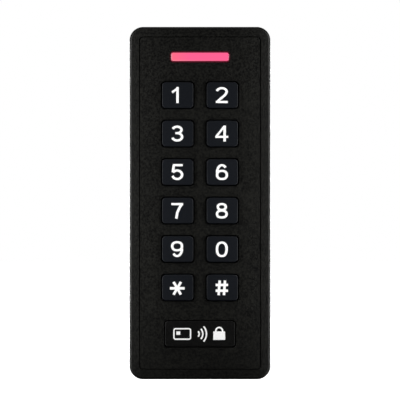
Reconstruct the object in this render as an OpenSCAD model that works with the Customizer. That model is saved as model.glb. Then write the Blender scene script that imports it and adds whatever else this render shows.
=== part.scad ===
// Keypad access reader: a slim twelve-key door reader on a screw-on wall plate.
// Millimetres. +X is to the right as the user sees it, +Z is up and the front faces -Y.
// The origin is the middle of the wall plate's back face, which lies on the wall.

/* [Body] */
// Width of the reader
body_w = 50; // [50:1:56]
// Height of the reader
body_h = 125; // [125:1:135]
// Distance from the wall to the front face
body_d = 21.2; // [21.2:0.2:25]
// Radius of the outer corners, seen from the front
corner_r = 4.8; // [4:0.1:6]
// Rounding of the front edge
edge_r = 0.8; // [0.4:0.1:1]
// Thickness of the side walls
wall_t = 2; // [1.8:0.1:2.2]
// Thickness of the front wall
front_t = 2.2; // [2:0.1:2.4]
// Distance of the decorative groove from the outer edge
groove_inset = 3.55; // [3:0.05:4.5]
// Width and depth of the decorative groove
groove_w = 0.4; // [0.3:0.05:0.6]

/* [Keys] */
// Distance between the two columns of keys
key_pitch_x = 15.8; // [15.4:0.1:17]
// Distance between the rows of keys
key_pitch_z = 13.65; // [13.2:0.05:13.8]
// Height of the top row above the middle of the reader
key_top_z = 38.3; // [38:0.1:39]
// Width of a keycap
key_w = 11; // [10.8:0.02:11.6]
// Height of a keycap, seen from the front
key_h = 9.06; // [8.8:0.02:9.6]
// Gap between a keycap and its opening
key_gap = 0.42; // [0.3:0.01:0.45]
// Distance that a keycap stands out of the front face
key_proud = 0.8; // [0.6:0.1:1]
// Distance that a key travels when it is pressed
key_travel = 0.8; // [0.6:0.1:0.8]
// Height of the characters printed on the keycaps
legend_h = 5.67; // [5:0.01:6]

/* [Indicator and nameplate] */
// Width of the indicator window
window_w = 20.9; // [18:0.1:22]
// Height of the indicator window
window_h = 3.5; // [3:0.1:3.8]
// Height of the window's centre above the middle of the reader
window_z = 51.9; // [51.5:0.1:52.2]
// Width of the nameplate's recess
plate_w = 25.7; // [24:0.1:28]
// Height of the nameplate's recess
plate_h = 9.9; // [9:0.1:10.5]
// Height of the nameplate's centre, negative below the middle of the reader
plate_z = -46.4; // [-47:0.1:-45.5]

/* [Wall plate] */
// Distance between the two wall screws
screw_spacing = 83.3; // [80:0.1:84]
// Diameter of the wall screw holes
screw_hole_d = 4.5; // [4:0.1:5]
// Depth of the whole wall plate
tray_d = 4; // [4:0.1:4.2]
// Thickness of the wall plate's base
tray_t = 2; // [1.8:0.1:2.2]
// Diameter of the cable that the grommet takes
cable_d = 6; // [5:0.1:6.5]

/* [Hidden] */
$fn = 48;

// The keys, row by row from the top left.
KEYS = ["1", "2", "3", "4", "5", "6", "7", "8", "9", "0", "star", "hash"];

// Colours
housing_col = [0.10, 0.10, 0.095];
key_col = [0.12, 0.13, 0.15];
lit_col = [0.99, 0.40, 0.56];
silicone_col = [0.55, 0.56, 0.57];
board_col = [0.08, 0.30, 0.16];
brass_col = [0.80, 0.62, 0.28];
steel_col = [0.70, 0.71, 0.72];

// Places along the depth, from the front face back to the wall.
front_y = -body_d;
wall_y = front_y + front_t;
key_y = front_y - key_proud;
flange_t = 0.8;
flange_y = wall_y + 0.05;
dome_h = 1.55;
mat_t = 1;
mat_y = flange_y + flange_t + dome_h;
board_t = 1.6;
board_y = mat_y + mat_t;
board_back = board_y + board_t;
cover_t = 2;
cover_y = -6.5;
cover_back = cover_y + cover_t;
seal_t = 1;
seam = 0.05;
seam_y = -tray_d - seam;

// The chamber that the rear cover closes, and the pocket below it for the plate's lug.
chamber_w = body_w - 2 * wall_t;
chamber_top = body_h / 2 - wall_t;
chamber_low = -body_h / 2 + 11.5;
chamber_h = chamber_top - chamber_low;
chamber_z = (chamber_top + chamber_low) / 2;
chamber_r = corner_r - wall_t;
shoulder = 1.4;
lug_wall_t = 2;
lug_wall_z = chamber_low - lug_wall_t;
foot_t = 3.1;

// Bosses for the case screws, and posts for the board screws.
case_screw_r = 1.1;
case_head_r = 2.2;
case_head_h = 1.4;
case_screw_depth = 7.5;
board_screw_r = 0.8;
board_head_r = 1.9;
board_head_h = 1.3;
pilot_gap = 0.05;
recess_w = 0.5;
boss_r = 2.6;
boss_x = chamber_w / 2 - 4.8;
boss_z = [chamber_top - 4.8, chamber_low + 4.8];
post_r = 2;
post_x = chamber_w / 2 - 4.4;
post_z = [chamber_top - 13.5, chamber_low + 12];
post_rib_t = 1.2;

// Main board
board_w = chamber_w - 4;
board_h = chamber_h - 4;
notch_w = 5.8;
notch_gap = 0.4;

// Antenna coil and its former, behind the board
coil_w = 40;
coil_h = 54;
coil_z = -8;
coil_wall = 0.8;
coil_depth = 3;
coil_flange = 0.6;
coil_ring = 2.5;

// Security screw, up through the bottom edge into the plate's lug
lug_y = -9;
lug_w = 12;
lug_h = 5;
lug_z = -body_h / 2 + foot_t + 0.4;
screw_head_r = 2.75;
screw_head_h = 1.4;
screw_shank_r = 1.45;
screw_hole_r = 1.7;
counterbore = 1.5;
insert_r = 2;
insert_bore_r = 1.5;

// Hooks at the top of the wall plate, and the pockets that they hold
hook_x = 9;
hook_w = 7;
hook_stem = 2.4;
hook_lip = 2.5;
hook_z = 47.2;
hook_front = -8.5;
hook_room = 1;
pocket_wall = 1.2;
mouth_low = hook_z - 2.8;
mouth_high = hook_z + hook_stem + 0.3;
pocket_high = hook_z + hook_stem + hook_lip + 0.8;
pocket_front = hook_front - 0.5;

// Cable outlet and tamper window
outlet_w = 18;
outlet_h = 34;
grommet_r = 5;
grommet_flange = 1.3;
tamper_x = -11;
tamper_z = 30;
tamper_r = 2.9;

// Characters on the keycaps, drawn 5.7 mm high
char_stem = 0.97;
char_bar = 0.84;
char_top = 2.85;
char_w = 4.35;
char_shift = -0.17;

// Domes and contact pills of the mat, and the pads under them
dome_r = 4.2;
dome_top_r = 2.6;
dome_wall = 0.8;
pill_r = 1.5;
pad_r = 2.2;
pad_t = 0.05;

// Parts on the back of the board
header_ways = 10;
header_pitch = 2.2;
header_w = 23;
header_d = 6.2;
header_h = 6;
chip_w = 10;
chip_t = 1.5;
leg_pitch = 0.72;
buzzer_r = 4.8;
buzzer_d = 5.2;
led_pitch = 7;

// ---------------------------------------------------------------- outlines

function arc(x, z, rx, rz, from, to, steps = 9) =
    [for (i = [0:steps]) let (a = from + (to - from) * i / steps) [x + rx * cos(a), z + rz * sin(a)]];

// Outline of a rectangle with round corners.
function round_rect(w, h, r) =
    concat(arc(w / 2 - r, h / 2 - r, r, r, 0, 90, 6), arc(r - w / 2, h / 2 - r, r, r, 90, 180, 6),
           arc(r - w / 2, r - h / 2, r, r, 180, 270, 6), arc(w / 2 - r, r - h / 2, r, r, 270, 360, 6));

// Outline of an oval that is a little squarer than an ellipse.
function bulge(v) = sign(v) * pow(abs(v), 0.88);
function oval(x, z, w, h) =
    [for (i = [0:27]) let (a = i * 360 / 28) [x + w / 2 * bulge(cos(a)), z + h / 2 * bulge(sin(a))]];

// Outline of a pen stroke of width w along a path.
function heading(path, i) =
    let (step = path[min(i + 1, len(path) - 1)] - path[max(i - 1, 0)]) step / norm(step);
function side(path, i, w) = let (h = heading(path, i)) path[i] + [-h.y, h.x] * w / 2;
function ribbon(path, w) =
    concat([for (i = [0:len(path) - 1]) side(path, i, w)],
           [for (i = [len(path) - 1:-1:0]) side(path, i, -w)]);

module rect(w, h, r) polygon(round_rect(w, h, r));
module frame(w, h, r, t) {
    difference() {
        rect(w, h, r);
        rect(w - 2 * t, h - 2 * t, max(r - t, 0.2));
    }
}
module pen(path, w) polygon(ribbon(path, w));
module ring(x, z, w, h, tx, tz) {
    difference() {
        polygon(oval(x, z, w, h));
        polygon(oval(x, z, w - 2 * tx, h - 2 * tz));
    }
}

// Extrudes an outline drawn in X and Z from depth y0 back to depth y1.
module slab(y0, y1) translate([0, y1, 0]) rotate([90, 0, 0]) linear_extrude(y1 - y0) children();

// A straight round bar along the depth.
module rod(x, z, r, y0, y1) translate([x, y1, z]) rotate([90, 0, 0]) cylinder(r = r, h = y1 - y0);

module box(x0, x1, y0, y1, z0, z1) translate([x0, y0, z0]) cube([x1 - x0, y1 - y0, z1 - z0]);

// A block with rounded vertical corners and a rounded front edge.
module soft_block(w, h, r, y0, y1, edge) {
    hull()
        for (i = [0:3]) {
            cut = edge * (1 - sin(i * 30));
            slab(y0 + edge * (1 - cos(i * 30)), y1) rect(w - 2 * cut, h - 2 * cut, r - cut);
        }
}

module at_bosses() for (x = [-boss_x, boss_x], z = boss_z) translate([x, 0, z]) children();
module at_posts() for (x = [-post_x, post_x], z = post_z) translate([x, 0, z]) children();

function key_x(i) = (i % 2 - 0.5) * key_pitch_x;
function key_z(i) = key_top_z - floor(i / 2) * key_pitch_z;
module at_key(i) translate([key_x(i), 0, key_z(i)]) children();
module at_keys() for (i = [0:len(KEYS) - 1]) at_key(i) children();

// ---------------------------------------------------------------- casing

module front_cover() {
    open = key_w + 2 * key_gap;
    open_h = key_h + 2 * key_gap;
    color(housing_col)
    difference() {
        union() {
            difference() {
                soft_block(body_w, body_h, corner_r, front_y, seam_y, edge_r);
                translate([0, 0, chamber_z]) {
                    slab(wall_y, 0) rect(chamber_w - 2 * shoulder, chamber_h - 2 * shoulder, 1.4);
                    slab(cover_y - seal_t, 0) rect(chamber_w, chamber_h, chamber_r);
                }
                box(-chamber_w / 2, chamber_w / 2, wall_y + 2, 0, -body_h / 2 + wall_t, lug_wall_z);
            }
            box(-9, 9, wall_y, seam_y, -body_h / 2 + 1, -body_h / 2 + foot_t);
            at_bosses() rod(0, 0, boss_r, wall_y - 1, cover_y);
            at_posts() rod(0, 0, post_r, wall_y - 1, board_y);
            for (s = [-1, 1], z = post_z)
                box(min(s * post_x, s * (chamber_w / 2)), max(s * post_x, s * (chamber_w / 2)),
                    wall_y - 1, board_y, z - post_rib_t / 2, z + post_rib_t / 2);
        }
        at_keys() slab(front_y - 1, wall_y + 0.5) rect(open, open_h, 1.4);
        translate([0, 0, window_z]) slab(front_y - 1, wall_y + 0.5) rect(window_w + 0.5, window_h + 0.5, 1.2);
        translate([0, 0, plate_z]) slab(front_y - 1, front_y + 0.5) rect(plate_w, plate_h, 1.1);
        slab(front_y - 1, front_y + groove_w)
            frame(body_w - 2 * groove_inset + groove_w, body_h - 2 * groove_inset + groove_w, 1.4, groove_w);
        at_bosses() rod(0, 0, case_screw_r + pilot_gap, cover_y - case_screw_depth - 1, cover_y + 1);
        at_posts() rod(0, 0, board_screw_r + pilot_gap, wall_y + 0.4, board_y + 1);
        translate([0, lug_y, -body_h / 2 - 1]) {
            cylinder(r = screw_head_r + 0.35, h = 1 + counterbore);
            cylinder(r = screw_hole_r, h = 1 + foot_t + 1);
        }
    }
}

module rear_cover() {
    color(housing_col)
    difference() {
        union() {
            translate([0, 0, chamber_z])
                slab(cover_y, cover_back) rect(chamber_w - 0.6, chamber_h - 0.6, chamber_r - 0.3);
            for (x = [-hook_x, hook_x])
                box(x - hook_w / 2 - hook_room - pocket_wall, x + hook_w / 2 + hook_room + pocket_wall,
                    pocket_front - pocket_wall, cover_y + 0.5, mouth_low - pocket_wall, pocket_high + pocket_wall);
        }
        for (x = [-hook_x, hook_x]) {
            box(x - hook_w / 2 - hook_room, x + hook_w / 2 + hook_room, pocket_front, cover_y,
                mouth_low, pocket_high);
            box(x - hook_w / 2 - hook_room, x + hook_w / 2 + hook_room, pocket_front, 0, mouth_low, mouth_high);
        }
        at_bosses() rod(0, 0, case_screw_r + 0.25, cover_y - 1, 0);
        rod(0, 0, grommet_r + 0.05, cover_y - 1, 0);
        rod(tamper_x, tamper_z, tamper_r + 0.1, cover_y - 1, 0);
    }
}

module wall_plate() {
    color(housing_col)
    difference() {
        union() {
            slab(-tray_t, 0) rect(body_w, body_h, corner_r);
            slab(-tray_d, -tray_t + 0.5) frame(body_w, body_h, corner_r, 1.8);
            for (x = [-hook_x, hook_x]) {
                box(x - hook_w / 2, x + hook_w / 2, hook_front, -1, hook_z, hook_z + hook_stem);
                box(x - hook_w / 2, x + hook_w / 2, hook_front, cover_y - 0.3,
                    hook_z, hook_z + hook_stem + hook_lip);
            }
            box(-lug_w / 2, lug_w / 2, lug_y - 5, -1, lug_z, lug_z + lug_h);
        }
        for (z = [-screw_spacing / 2, screw_spacing / 2])
            rod(0, z, screw_hole_d / 2, -tray_d, 1);
        slab(-tray_d, 1) rect(outlet_w, outlet_h, 3);
        translate([0, lug_y, lug_z - 1]) cylinder(r = insert_r + pilot_gap, h = lug_h + 2);
    }
}

module housing_seal() {
    color([0.2, 0.2, 0.22])
    translate([0, 0, chamber_z])
        slab(cover_y - seal_t, cover_y) frame(chamber_w - 0.6, chamber_h - 0.6, chamber_r - 0.3, 1);
}

// ---------------------------------------------------------------- front trim

module indicator_window() {
    color(lit_col)
    translate([0, 0, window_z]) {
        slab(front_y + 0.05, wall_y) rect(window_w, window_h, 1);
        slab(wall_y, wall_y + 1) rect(window_w + 2.5, window_h + 2.5, 1.2);
    }
}

module light_shroud() {
    color("white")
    translate([0, 0, window_z]) slab(wall_y + 1, board_y) frame(window_w + 2.5, window_h + 2.5, 1.2, 1);
}

module nameplate() {
    color([0.07, 0.07, 0.07])
    translate([0, 0, plate_z]) slab(front_y + 0.05, front_y + 0.5) rect(plate_w - 0.9, plate_h - 0.9, 0.7);
}

// A card, three radio waves and a padlock.
module nameplate_mark() {
    color("white")
    translate([0, 0, plate_z])
    slab(front_y + 0.01, front_y + 0.05) {
        translate([-6.3, 0]) frame(6.4, 4.2, 0.8, 0.5);
        translate([-7.7, 0.3]) rect(1.5, 1.2, 0.3);
        for (r = [1.4:1.3:4]) pen(arc(-1.7, 0, r, r, -42, 42), 0.55);
        translate([6.8, -0.6]) rect(4.2, 3, 0.5);
        pen(concat([[5.6, 0.7]], arc(6.8, 1.1, 1.2, 1.2, 180, 0), [[8, 0.7]]), 0.55);
    }
}

// ---------------------------------------------------------------- keys

// Characters about their centre, drawn with a pen that is thinner on level strokes.
module glyph(c) {
    up = char_top - char_bar / 2;
    half = (char_w - char_stem) / 2;
    if (c == "0") ring(0, 0, 4.45, 5.8, char_stem, char_bar);
    if (c == "1") {
        pen([[0.1, char_top], [0.1, -char_top]], char_stem);
        pen([[0.15, 2.4], [-1.85, 0.95]], char_bar);
    }
    if (c == "2") {
        pen(concat(arc(0, 1.22, half, up - 1.22, 172, -20),
                   [[1.15, 0.02], [0.1, -0.9], [-1, -1.75], [-1.55, -up]]), char_stem);
        pen([[-2.15, -up], [2.15, -up]], char_bar);
    }
    if (c == "3") {
        pen(arc(-0.05, (up + 0.15) / 2, half - 0.15, (up - 0.15) / 2, 164, -90), char_bar);
        pen(arc(-0.02, (0.15 - up) / 2, half, (up + 0.15) / 2, 90, -166), char_bar);
        pen([[-0.7, 0.15], [0.1, 0.15]], char_bar);
    }
    if (c == "4") {
        pen([[1, char_top], [1, -char_top]], char_stem);
        pen([[-2.3, -1.17], [2.3, -1.17]], char_bar);
        pen([[0.85, 2.5], [-2, -1.1]], char_bar);
    }
    if (c == "5") {
        pen([[-1.5, up], [1.95, up]], char_bar);
        pen([[-1.2, up], [-1.55, -0.1]], char_stem);
        pen(arc(-0.02, -0.95, half, up - 0.95, 147, -164), char_bar);
    }
    if (c == "6") {
        ring(0.05, -1.02, char_w, 3.66, char_stem, char_bar);
        pen(arc(0.05, -0.15, half, up + 0.15, 200, 42), char_bar);
    }
    if (c == "7") {
        pen([[-2.15, up], [2.15, up]], char_bar);
        pen([[1.75, up], [0.8, 1.1], [0.05, -0.6], [-0.35, -char_top]], char_stem);
    }
    if (c == "8") {
        ring(0, 1.4, 3.85, 2.9, char_stem, char_bar);
        ring(0, -1.2, 4.45, 3.3, char_stem, char_bar);
    }
    if (c == "9") rotate(180) glyph("6");
    if (c == "star")
        for (a = [0, 60, 120]) rotate(a) pen([[-2.62, 0], [2.62, 0]], char_stem);
    if (c == "hash") {
        for (x = [-0.95, 0.95]) pen([[x - 0.2, -2.75], [x + 0.2, 2.75]], char_bar);
        for (z = [-1.05, 1.05]) pen([[-2.25, z], [2.25, z]], char_bar);
    }
}

// A keycap with the flange that keeps it behind the front wall.
module keycap(name) {
    i = search([name], KEYS)[0];
    color(key_col)
    at_key(i) {
        soft_block(key_w, key_h, 1.2, key_y, flange_y + 0.3, 0.3);
        slab(flange_y, flange_y + flange_t) rect(key_w + 2, key_h + 2, 0.8);
    }
}

module legend(name) {
    i = search([name], KEYS)[0];
    color("white")
    at_key(i)
        slab(key_y - 0.04, key_y)
            translate([char_shift, 0]) scale(legend_h / (2 * char_top)) glyph(name);
}

// Silicone mat with a dome and a contact pill under each key.
module keypad_mat() {
    color(silicone_col)
    difference() {
        union() {
            translate([0, 0, key_top_z - 2.5 * key_pitch_z])
                slab(mat_y, board_y) rect(key_pitch_x + 18.4, 5 * key_pitch_z + 11.2, 2);
            at_keys() translate([0, mat_y + 0.01, 0]) rotate([90, 0, 0])
                cylinder(r1 = dome_r, r2 = dome_top_r, h = dome_h + 0.01);
        }
        at_keys() difference() {
            translate([0, board_y + 0.01, 0]) rotate([90, 0, 0])
                cylinder(r1 = dome_r - dome_wall, r2 = dome_top_r - 0.6, h = mat_t + dome_h - 0.79);
            rod(0, 0, pill_r, mat_y - dome_h, board_y - key_travel - pad_t);
        }
    }
}

// ---------------------------------------------------------------- electronics

module main_board() {
    color(board_col)
    difference() {
        translate([0, 0, chamber_z]) slab(board_y, board_back) rect(board_w, board_h, 1);
        for (s = [-1, 1]) {
            box(s * board_w / 2 - notch_w, s * board_w / 2 + notch_w, board_y - 1, board_back + 1,
                boss_z[0] - boss_r - notch_gap, chamber_top);
            box(s * board_w / 2 - notch_w, s * board_w / 2 + notch_w, board_y - 1, board_back + 1,
                chamber_low, boss_z[1] + boss_r + notch_gap);
        }
        at_posts() rod(0, 0, board_screw_r + 0.3, board_y - 1, board_back + 1);
    }
}

// Two gilt half pads under each contact pill.
module key_contacts() {
    color(brass_col)
    difference() {
        at_keys() rod(0, 0, pad_r, board_y - pad_t, board_y);
        at_keys() box(-0.2, 0.2, board_y - 1, board_y + 0.5, -3, 3);
    }
}

module indicator_leds() {
    color("white")
    for (x = [-led_pitch, 0, led_pitch])
        box(x - 1.4, x + 1.4, board_y - 0.8, board_y, window_z - 0.8, window_z + 0.8);
}

module coil_former() {
    core = coil_ring - coil_wall;
    color([0.85, 0.83, 0.75])
    translate([0, 0, coil_z]) {
        slab(board_back, board_back + coil_flange) frame(coil_w, coil_h, 4, coil_ring);
        slab(board_back + coil_flange, board_back + coil_depth - coil_flange)
            frame(coil_w - 2 * core, coil_h - 2 * core, 4 - core, coil_wall);
        slab(board_back + coil_depth - coil_flange, board_back + coil_depth) frame(coil_w, coil_h, 4, coil_ring);
    }
}

module antenna_coil() {
    color([0.72, 0.38, 0.18])
    translate([0, 0, coil_z])
        slab(board_back + coil_flange, board_back + coil_depth - coil_flange)
            frame(coil_w - 0.6, coil_h - 0.6, 3.7, coil_ring - coil_wall - 0.3);
}

module buzzer() {
    color([0.06, 0.06, 0.06])
    translate([9, board_back, 6])
        rotate([-90, 0, 0]) difference() {
            cylinder(r = buzzer_r, h = buzzer_d);
            translate([0, 0, buzzer_d - 1.2]) cylinder(r = 1, h = 2);
        }
}

// A square chip with thirteen legs on each of two sides.
module control_chip() {
    color([0.05, 0.05, 0.05])
    translate([-8, board_back, -14]) {
        box(-chip_w / 2, chip_w / 2, 0.15, chip_t, -chip_w / 2, chip_w / 2);
        for (s = [-1, 1], i = [-6:6])
            box(s * (chip_w / 2 + 0.4) - 0.6, s * (chip_w / 2 + 0.4) + 0.6, 0, 0.35,
                i * leg_pitch - 0.15, i * leg_pitch + 0.15);
    }
}

// A socket with ten ways for the installer's wires.
module wire_header() {
    color([0.93, 0.92, 0.88])
    translate([0, board_back, -27])
    difference() {
        box(-header_w / 2, header_w / 2, 0, header_d, -header_h / 2, header_h / 2);
        for (i = [0:header_ways - 1]) {
            x = (i - (header_ways - 1) / 2) * header_pitch;
            box(x - 0.8, x + 0.8, header_d - 4, header_d + 1, -1.8, 1.8);
        }
    }
}

// Small parts soldered to the back of the board.
module board_parts() {
    color([0.35, 0.33, 0.30])
    translate([0, board_back, 0]) {
        for (i = [0:7]) box(i * 2.6 - 10, i * 2.6 - 8.8, 0, 0.6, -42.5, -40.5);
        for (i = [0:5]) box(14, 15.6, 0, 0.6, i * 2.4 - 26.5, i * 2.4 - 25.2);
        for (i = [0:4]) box(-3 + i * 2.4, -1.8 + i * 2.4, 0, 0.5, -5.5, -3.5);
        box(4.5, 9.5, 0, 1.6, -16, -9.5);
        box(-4, 1, 0, 1.1, 26, 30);
        box(-14.5, -5.5, 0, 3, 3, 7);
        translate([12.5, 0, 28]) rotate([-90, 0, 0]) cylinder(r = 2.6, h = 5.4);
        translate([4.5, 0, 35]) rotate([-90, 0, 0]) cylinder(r = 2.6, h = 2.8);
    }
}

// Light-dependent resistor that sees light when the reader leaves the wall.
module tamper_sensor() {
    color([0.80, 0.45, 0.25])
    rod(tamper_x, tamper_z, 2.5, board_back, board_back + 2.2);
}

module tamper_window() {
    color([0.75, 0.80, 0.85])
    {
        rod(tamper_x, tamper_z, tamper_r, cover_y - 0.2, cover_back);
        rod(tamper_x, tamper_z, tamper_r + 1, cover_y - 0.8, cover_y);
    }
}

// Rubber bush with a flange on each side of the rear cover.
module cable_grommet() {
    color([0.12, 0.12, 0.12])
    difference() {
        union() {
            rod(0, 0, grommet_r, cover_y - 0.5, cover_back + 0.5);
            rod(0, 0, grommet_r + grommet_flange, cover_y - 1.2, cover_y);
            rod(0, 0, grommet_r + grommet_flange, cover_back, cover_back + 1);
        }
        rod(0, 0, cable_d / 2, cover_y - 5, 0);
    }
}

// ---------------------------------------------------------------- fasteners

// Cross recess from depth y backwards, with arms that reach out to arm.
module cross_recess(y, arm) {
    box(-arm, arm, y, 0, -recess_w / 2, recess_w / 2);
    box(-recess_w / 2, recess_w / 2, y, 0, -arm, arm);
}

module case_screws() {
    color(steel_col)
    at_bosses() difference() {
        union() {
            rod(0, 0, case_head_r, cover_back, cover_back + case_head_h);
            rod(0, 0, case_screw_r, cover_y - case_screw_depth, cover_back + 0.2);
        }
        cross_recess(cover_back + case_head_h / 2, 1.2);
    }
}

module board_screws() {
    color(steel_col)
    at_posts() difference() {
        union() {
            rod(0, 0, board_head_r, board_back, board_back + board_head_h);
            rod(0, 0, board_screw_r, wall_y + 0.8, board_back + 0.2);
        }
        cross_recess(board_back + board_head_h / 2, 1);
    }
}

// Button head with a six-sided socket and a centre pin.
module security_screw() {
    head_top = -body_h / 2 + counterbore;
    color(steel_col)
    translate([0, lug_y, 0]) {
        difference() {
            translate([0, 0, head_top - screw_head_h]) cylinder(r = screw_head_r, h = screw_head_h);
            translate([0, 0, head_top - screw_head_h - 0.6]) cylinder(r = 1.3, h = 1.6, $fn = 6);
        }
        translate([0, 0, head_top - screw_head_h]) cylinder(r = 0.4, h = 1.2);
        translate([0, 0, head_top - 0.2]) cylinder(r = screw_shank_r, h = lug_z + lug_h - head_top - 0.4);
    }
}

module plate_insert() {
    color(brass_col)
    translate([0, lug_y, lug_z + 0.1]) difference() {
        cylinder(r = insert_r, h = lug_h - 0.2);
        translate([0, 0, -1]) cylinder(r = insert_bore_r, h = lug_h + 2);
    }
}

// ---------------------------------------------------------------- output

front_cover();
rear_cover();
wall_plate();
housing_seal();
indicator_window();
light_shroud();
nameplate();
nameplate_mark();
keypad_mat();
main_board();
key_contacts();
indicator_leds();
coil_former();
antenna_coil();
buzzer();
control_chip();
wire_header();
board_parts();
tamper_sensor();
tamper_window();
cable_grommet();
case_screws();
board_screws();
security_screw();
plate_insert();
for (name = KEYS) {
    keycap(name);
    legend(name);
}
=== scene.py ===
"""Looks of the keypad access reader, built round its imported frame. Sizes here are in millimetres."""

import math

import bmesh
import bpy
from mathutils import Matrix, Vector
from mathutils.geometry import delaunay_2d_cdt


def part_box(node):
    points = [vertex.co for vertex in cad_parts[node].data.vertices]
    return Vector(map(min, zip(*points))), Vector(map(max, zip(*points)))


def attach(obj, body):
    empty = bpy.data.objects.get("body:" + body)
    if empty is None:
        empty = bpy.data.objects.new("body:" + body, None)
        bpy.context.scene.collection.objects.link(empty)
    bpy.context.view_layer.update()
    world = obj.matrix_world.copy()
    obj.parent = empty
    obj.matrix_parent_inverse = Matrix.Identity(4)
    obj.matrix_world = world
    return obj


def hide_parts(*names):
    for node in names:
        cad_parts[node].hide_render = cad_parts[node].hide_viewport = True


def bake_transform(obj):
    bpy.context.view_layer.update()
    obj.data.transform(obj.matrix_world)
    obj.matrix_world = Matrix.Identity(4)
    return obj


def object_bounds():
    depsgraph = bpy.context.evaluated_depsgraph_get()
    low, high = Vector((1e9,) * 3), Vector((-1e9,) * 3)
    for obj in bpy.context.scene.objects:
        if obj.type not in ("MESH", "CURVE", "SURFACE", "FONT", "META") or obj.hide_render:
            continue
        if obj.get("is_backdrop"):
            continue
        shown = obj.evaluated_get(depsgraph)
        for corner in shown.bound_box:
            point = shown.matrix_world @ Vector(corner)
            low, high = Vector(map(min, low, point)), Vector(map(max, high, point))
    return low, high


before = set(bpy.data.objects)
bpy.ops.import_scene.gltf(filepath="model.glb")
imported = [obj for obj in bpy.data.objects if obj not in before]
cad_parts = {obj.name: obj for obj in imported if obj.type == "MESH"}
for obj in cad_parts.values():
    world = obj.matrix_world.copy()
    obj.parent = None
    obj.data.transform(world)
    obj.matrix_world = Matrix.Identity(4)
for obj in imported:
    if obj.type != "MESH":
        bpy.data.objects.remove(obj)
cad_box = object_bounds()

MM = 0.001
KEYS = ["1", "2", "3", "4", "5", "6", "7", "8", "9", "0", "star", "hash"]
ROOT = "reader"


# ------------------------------------------------------------------ places in the frame

def box(node):
    """Lowest and highest corners of a node, in millimetres."""
    low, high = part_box(node)
    return low / MM, high / MM


def middle(node):
    low, high = box(node)
    return (low + high) / 2


def span(node):
    low, high = box(node)
    return high - low


FRONT = box("front_cover")[0].y
SEAM = box("front_cover")[1].y
INNER = box("indicator_window")[1].y - 1
BOARD_FRONT, BOARD_BACK = box("main_board")[0].y, box("main_board")[1].y
COVER_BACK = box("rear_cover")[1].y
COVER_FRONT = box("housing_seal")[1].y
SEAL_FRONT = box("housing_seal")[0].y
KEY_AT = {k: middle("keycap_" + k) for k in KEYS}


def corners_of(node, radius):
    """Centres of a group of four round pieces of that radius, which lie at a node's four corners."""
    low, high = box(node)
    return [(x, z) for x in (low.x + radius, high.x - radius) for z in (low.z + radius, high.z - radius)]


CASE_SCREW_HEAD = 2.2
BOARD_SCREW_HEAD = 1.9
BOSSES = corners_of("case_screws", CASE_SCREW_HEAD)
POSTS = corners_of("board_screws", BOARD_SCREW_HEAD)


# ------------------------------------------------------------------ outlines

def arc(x, z, rx, rz, start, end, steps=10):
    turns = [math.radians(start + (end - start) * i / steps) for i in range(steps + 1)]
    return [(x + rx * math.cos(a), z + rz * math.sin(a)) for a in turns]


def round_rect(w, h, r, x=0.0, z=0.0, steps=8):
    """Outline of a rectangle with round corners, anticlockwise from its right edge."""
    points = []
    for cx, cz, start in ((w / 2 - r, h / 2 - r, 0), (r - w / 2, h / 2 - r, 90),
                          (r - w / 2, r - h / 2, 180), (w / 2 - r, r - h / 2, 270)):
        points += arc(x + cx, z + cz, r, r, start, start + 90, steps)
    return points


def circle(r, x=0.0, z=0.0, steps=40):
    return arc(x, z, r, r, 0, 360, steps)[:-1]


def quarter(radius, steps=5):
    """(distance in, distance up) pairs round a quarter circle, from its foot to its top."""
    turns = [math.radians(90 * i / steps) for i in range(steps + 1)]
    return [(radius * (1 - math.cos(a)), radius * math.sin(a)) for a in turns]


# ------------------------------------------------------------------ mesh making

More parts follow.
